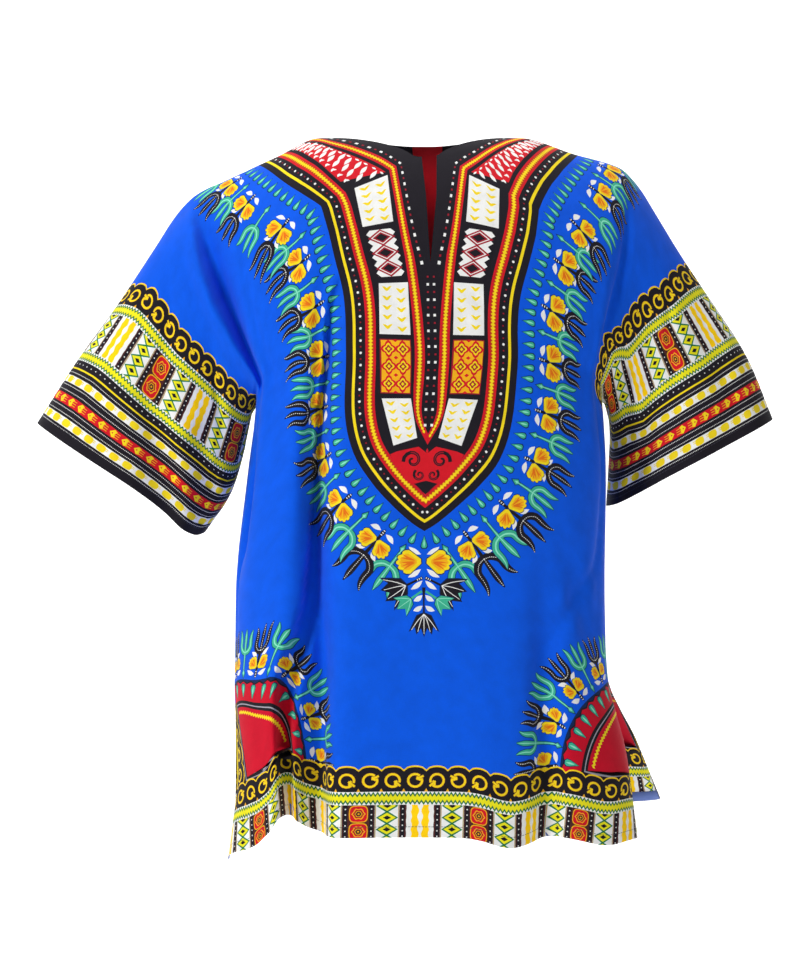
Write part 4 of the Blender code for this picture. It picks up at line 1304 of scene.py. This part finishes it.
# The sleeves follow the cloth that they are sewn to
last = UPPER_ROWS * FINE_ROWS + 1
for name, edge in (("right", 0), ("left", -1)):
    line = np.concatenate([cloth[1][:last, edge][:0:-1], cloth[-1][:last, edge]])
    cloth[name] += (line - cloth[name][:, 0])[:, None] * np.linspace(1, 0, cloth[name].shape[1])[:, None] ** 5

# The slit at the neck hangs open
row = np.arange(cloth[-1].shape[0])[:, None] / FINE_ROWS
beside = on_flat[-1][..., 0] - 0.004
open_it = 0.0068 * np.clip(1 - (row / 8) ** 3, 0, 1) * np.exp(-(beside / 0.030) ** 2)
cloth[-1][..., 0] += open_it * np.sign(beside)


# The sheets of cloth. Each is cut along the print's outlines on the flat, and laid
# on its solid's form, with the normals of the smooth form.
def laid_on(places, flat, form, normals):
    """Points and normals on the form for places on the flat cloth."""
    rows, columns = flat.shape[:2]
    index = np.arange(rows * columns).reshape(rows, columns)
    a, b, c, d = (part.ravel() for part in (index[:-1, :-1], index[:-1, 1:], index[1:, 1:], index[1:, :-1]))
    thirds = np.concatenate([np.column_stack([a, b, c]), np.column_stack([a, c, d])])
    corners = flat.reshape(-1, 2)
    tree = BVHTree.FromPolygons([(x, y, 0.0) for x, y in corners], thirds.tolist())
    hits = [tree.find_nearest((x, y, 0.0)) for x, y in places]
    thirds = thirds[[hit[2] for hit in hits]]
    at = np.array([hit[0][:2] for hit in hits])
    p, q, r = (corners[thirds[:, k]] for k in range(3))
    v, w, u = q - p, r - p, at - p
    area = v[:, 0] * w[:, 1] - v[:, 1] * w[:, 0]
    area = np.where(np.abs(area) < 1e-9, 1e-9, area)
    second = (u[:, 0] * w[:, 1] - u[:, 1] * w[:, 0]) / area
    third = (v[:, 0] * u[:, 1] - v[:, 1] * u[:, 0]) / area
    share = np.stack([1 - second - third, second, third], axis=1)[..., None]
    points = np.sum(form.reshape(-1, 3)[thirds] * share, axis=1)
    facing = np.sum(normals.reshape(-1, 3)[thirds] * share, axis=1)
    return points, facing / np.linalg.norm(facing, axis=1, keepdims=True)


def simple(outline):
    """Whether no two sides of an outline cross."""
    after = np.roll(outline, -1, axis=0)
    way = after - outline
    gap = outline[None] - outline[:, None]
    cross = way[:, None, 0] * way[None, :, 1] - way[:, None, 1] * way[None, :, 0]
    cross = np.where(np.abs(cross) < 1e-9, np.nan, cross)
    with np.errstate(invalid="ignore"):
        along = (gap[..., 0] * way[None, :, 1] - gap[..., 1] * way[None, :, 0]) / cross
        other = (gap[..., 0] * way[:, None, 1] - gap[..., 1] * way[:, None, 0]) / cross
        return not ((along > 1e-6) & (along < 1 - 1e-6) & (other > 1e-6) & (other < 1 - 1e-6)).any()


def cut_and_lay(name, key, shapes, spacing=5.0):
    flat, form, normals = on_flat[key] * 1000, cloth[key], form_normals[key]
    rim = np.concatenate([flat[0, :-1], flat[:-1, -1], flat[-1, :0:-1], flat[:0:-1, 0]])
    low, high = rim.min(axis=0), rim.max(axis=0)
    rows = np.arange(low[1] + 2, high[1], spacing * 0.87)
    base = [np.column_stack([np.arange(low[0] + 2 + (k % 2) * spacing / 2, high[0], spacing), ])
            for k in range(len(rows))]
    base = np.concatenate([np.column_stack([x[:, 0], np.full(len(x), y)]) for x, y in zip(base, rows)])
    ahead = np.roll(rim, -1, axis=0)
    if np.sum(rim[:, 0] * ahead[:, 1] - rim[:, 1] * ahead[:, 0]) < 0:
        rim = rim[::-1]
    points, faces, dyes = [rim, base], [list(range(len(rim)))], ["blue"]
    count = len(rim) + len(base)
    for outline, dye in shapes:
        outline = np.asarray(outline)
        outline = outline[np.linalg.norm(outline - np.roll(outline, 1, axis=0), axis=1) > 0.02]
        if (outline.max(axis=0) < low).any() or (outline.min(axis=0) > high).any():
            continue
        ahead = np.roll(outline, -1, axis=0)
        area = np.sum(outline[:, 0] * ahead[:, 1] - outline[:, 1] * ahead[:, 0]) / 2
        if abs(area) < 0.15:
            continue
        if area < 0:
            outline = outline[::-1]
        if not simple(outline):
            continue
        points.append(outline)
        faces.append(list(range(count, count + len(outline))))
        dyes.append(dye)
        count += len(outline)
    points = [Vector(point) for point in np.concatenate(points).tolist()]
    places, _, thirds, _, _, origin = delaunay_2d_cdt(points, [], faces, 1, 1e-4, True)
    kept = [(corners, max(ids)) for corners, ids in zip(thirds, origin) if 0 in ids]
    kept = [(corners, dyes[top]) for corners, top in kept if dyes[top] != "cut"]
    places = np.array([place[:] for place in places])
    used, corners = np.unique(np.array([corners for corners, _ in kept]), return_inverse=True)
    corners = corners.reshape(-1, 3)
    places = places[used]
    where, facing = laid_on(places, flat, form, normals)
    a, b, c = (where[corners[:, k]] for k in range(3))
    if np.sum(np.cross(b - a, c - a) * facing[corners[:, 0]]) < 0:
        corners = corners[:, ::-1]
    mesh = bpy.data.meshes.new(name)
    mesh.from_pydata(where.tolist(), [], corners.tolist())
    mesh.polygons.foreach_set("use_smooth", np.ones(len(corners), dtype=bool))
    ink = mesh.color_attributes.new("print", "FLOAT_COLOR", "CORNER")
    dye = np.array([DYES[dye] + (1.0,) for _, dye in kept])
    ink.data.foreach_set("color", np.repeat(dye, 3, axis=0).ravel())
    unit = (places - low) / (high - low).max()
    for layer in ("OFBake", "cloth"):
        uv = mesh.uv_layers.new(name=layer)
        spread = unit * 0.98 + 0.01 if layer == "OFBake" else places / 10.0
        uv.data.foreach_set("uv", spread[corners.ravel()].ravel())
    mesh.normals_split_custom_set_from_vertices(facing.tolist())
    piece = bpy.data.objects.new(name, mesh)
    bpy.context.collection.objects.link(piece)
    return piece


# Hems turned to the inside, and the stitches that hold them
def along_edge(key, inset):
    """A line on the flat cloth, beside the hem or beside a sleeve's cuff."""
    if key in (-1, 1):
        return on_flat[key][-1] * 1000 - (0, inset)
    edge = on_flat[key][:, -1] * 1000
    return edge - np.column_stack([np.sign(edge[:, 0]) * inset, np.zeros(len(edge))])


def made_of(name, points, faces, facing, material):
    mesh = bpy.data.meshes.new(name)
    mesh.from_pydata(points.tolist(), [], faces.tolist())
    a, b, c = (points[faces[:, k]] for k in range(3))
    if np.sum(np.cross(b - a, c - a) * facing[faces[:, 0]]) < 0:
        mesh.flip_normals()
    mesh.polygons.foreach_set("use_smooth", np.ones(len(faces), dtype=bool))
    layer = mesh.uv_layers.new(name="OFBake")
    run = np.arange(len(faces))[:, None] / len(faces) + np.array((0, 0, 0.9, 0.9)) / len(faces)
    layer.data.foreach_set("uv", np.stack([run, np.broadcast_to((0.1, 0.9, 0.9, 0.1), run.shape)],
                                          axis=-1).ravel())
    mesh.materials.append(material)
    piece = bpy.data.objects.new(name, mesh)
    bpy.context.collection.objects.link(piece)
    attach(piece, "root")
    return piece


def turned_hem(name, key):
    rows, facing = [], None
    for inset, depth in ((0.2, 0.1), (0.7, 0.9), (12.5, 0.9), (12.8, 0.3)):
        points, facing = laid_on(resampled(along_edge(key, inset), 5.0), on_flat[key] * 1000, cloth[key],
                                 form_normals[key])
        rows.append(points - facing * depth / 1000)
    count = len(rows[0])
    index = np.arange(4 * count).reshape(4, count)
    faces = np.stack([index[:-1, :-1], index[:-1, 1:], index[1:, 1:], index[1:, :-1]], axis=-1).reshape(-1, 4)
    return made_of(name, np.concatenate(rows), faces, -np.tile(facing, (4, 1)), wrong_side)


def stitched(name, key, inset):
    places = np.concatenate([placed(box(-1.15, -0.24, 2.3, 0.48), at)
                             for at in evenly(along_edge(key, inset), 3.3, 1.6, 1.6)])
    points, facing = laid_on(places, on_flat[key] * 1000, cloth[key], form_normals[key])
    return made_of(name, points + facing * 0.00025, np.arange(len(points)).reshape(-1, 4), facing,
                   sewing_thread)


wrong_side, sewing_thread = (bpy.data.materials.new(name) for name in ("wrong_side_of_print", "hem_thread"))
for material, colour, rough in ((wrong_side, (0.10, 0.16, 0.42, 1), 0.85),
                                (sewing_thread, (0.025, 0.028, 0.05, 1), 0.6)):
    material.use_nodes = True
    material.node_tree.nodes["Principled BSDF"].inputs["Base Color"].default_value = colour
    material.node_tree.nodes["Principled BSDF"].inputs["Roughness"].default_value = rough


form_normals = {key: smooth_normals(grid) * OUTWARD[key] for key, grid in cloth.items()}
# Shared normals along the sleeve lines, so that no edge shows there
for name, edge in (("right", 0), ("left", -1)):
    for side, rows in ((1, slice(last - 1, 0, -1)), (-1, slice(0, last))):
        along = form_normals[name][:last - 1, 0] if side == 1 else form_normals[name][last - 1:, 0]
        shared = along + form_normals[side][rows, edge]
        shared /= np.linalg.norm(shared, axis=1, keepdims=True)
        along[:] = shared
        form_normals[side][rows, edge] = shared


# Plain woven cotton: two sets of uneven threads, and a print that is a little uneven
woven = bpy.data.node_groups.new("woven_cotton", "ShaderNodeTree")
for name, way, kind in (("Print", "INPUT", "NodeSocketColor"), ("Color", "OUTPUT", "NodeSocketColor"),
                        ("Normal", "OUTPUT", "NodeSocketVector")):
    woven.interface.new_socket(name, in_out=way, socket_type=kind)
nodes, link = woven.nodes, woven.links.new
given, made = nodes.new("NodeGroupInput"), nodes.new("NodeGroupOutput")
on_cloth = nodes.new("ShaderNodeUVMap")
on_cloth.uv_map = "cloth"
threads = []
for stretch in ((1.6, 22.0, 1.0), (22.0, 1.6, 1.0)):
    run = nodes.new("ShaderNodeMapping")
    run.inputs["Scale"].default_value = stretch
    link(on_cloth.outputs["UV"], run.inputs["Vector"])
    thread = nodes.new("ShaderNodeTexNoise")
    thread.inputs["Scale"].default_value = 1.0
    thread.inputs["Detail"].default_value = 1.0
    link(run.outputs["Vector"], thread.inputs["Vector"])
    threads.append(thread)
weave = nodes.new("ShaderNodeMath")
weave.operation = "ADD"
link(threads[0].outputs["Fac"], weave.inputs[0])
link(threads[1].outputs["Fac"], weave.inputs[1])
patches = nodes.new("ShaderNodeTexNoise")
patches.inputs["Scale"].default_value = 0.55
patches.inputs["Detail"].default_value = 3.0
link(on_cloth.outputs["UV"], patches.inputs["Vector"])
uneven = nodes.new("ShaderNodeMath")
uneven.operation = "MULTIPLY_ADD"
uneven.inputs[1].default_value = 0.42
link(weave.outputs[0], uneven.inputs[0])
link(patches.outputs["Fac"], uneven.inputs[2])
shade = nodes.new("ShaderNodeMapRange")
shade.inputs["From Min"].default_value, shade.inputs["From Max"].default_value = 0.50, 1.35
shade.inputs["To Min"].default_value, shade.inputs["To Max"].default_value = 0.84, 1.12
link(uneven.outputs[0], shade.inputs["Value"])
tone = nodes.new("ShaderNodeHueSaturation")
link(shade.outputs["Result"], tone.inputs["Value"])
link(given.outputs["Print"], tone.inputs["Color"])
link(tone.outputs["Color"], made.inputs["Color"])
bump = nodes.new("ShaderNodeBump")
bump.inputs["Strength"].default_value = 0.35
bump.inputs["Distance"].default_value = 0.0002
link(weave.outputs[0], bump.inputs["Height"])
link(bump.outputs["Normal"], made.inputs["Normal"])

printed = bpy.data.materials.new("printed_cotton_cloth")
printed.use_nodes = True
nodes, link = printed.node_tree.nodes, printed.node_tree.links.new
shader = nodes["Principled BSDF"]
ink = nodes.new("ShaderNodeVertexColor")
ink.layer_name = "print"
cotton = nodes.new("ShaderNodeGroup")
cotton.node_tree = woven
link(ink.outputs["Color"], cotton.inputs["Print"])
link(cotton.outputs["Color"], shader.inputs["Base Color"])
link(cotton.outputs["Normal"], shader.inputs["Normal"])
shader.inputs["Roughness"].default_value = 0.82
shader.inputs["Specular IOR Level"].default_value = 0.12
shader.inputs["Sheen Weight"].default_value = 0.05


def on_axis(points):
    """The print lies a little askew: its axis wanders from the cloth's."""
    x, y = np.asarray(points, dtype=float).T
    outer = np.interp(y, (0, 64, 91, 113, 130, 160, 250, 350, 505), (-8, -6.5, -4, 0, 4.5, 6, 4, 3.5, 5))
    inner = np.interp(y, (0, 250, 350, 505), (4, 4, 4, 5))
    blend = np.clip((np.abs(x) - 60) / 50, 0, 1)
    return np.column_stack([x + inner + (outer - inner) * blend, y])


body_prints = {}
for side, cut_open in ((-1, True), (1, False)):
    drawing.clear()
    neck_ornament(cut_open)
    flower_border()
    pointed_spray()
    ornament = [(on_axis(points), dye) for points, dye in drawing]
    drawing.clear()
    corner_fan(790.0)
    hem_border(330.0, 790.0)
    body_prints[side] = ornament + drawing
drawing.clear()
sleeve_border([(0, 400), (21, 392), (63, 375), (126, 372), (178, 358), (227, 345), (280, 335)], 565.0,
              290.0, 290.0)
right_print = [(points * (-1, 1), dye) for points, dye in drawing]
drawing.clear()
sleeve_border([(0, 368), (30, 359), (92, 344), (142, 317), (184, 301), (215, 258), (280, 240)], 565.0,
              290.0, 290.0)
left_print = list(drawing)

front = cut_and_lay("front_cloth", -1, body_prints[-1] + right_print + left_print)
back = cut_and_lay("back_cloth", 1, body_prints[1] + right_print + left_print)
sleeve_right = cut_and_lay("sleeve_right_cloth", "right", right_print)
sleeve_left = cut_and_lay("sleeve_left_cloth", "left", left_print)
for piece, node, key, flat, area in ((front, "front", -1, (0.74, 0.79), 0.50),
                                     (back, "back", 1, (0.74, 0.79), 0.50),
                                     (sleeve_right, "sleeve_right", "right", (0.57, 0.235), 0.11),
                                     (sleeve_left, "sleeve_left", "left", (0.57, 0.235), 0.11)):
    sewn_on = [turned_hem(node + "_hem", key), stitched(node + "_hem_stitches", key, 11.0)]
    piece.data.materials.append(printed)
    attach(piece, "root")
    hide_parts(node)
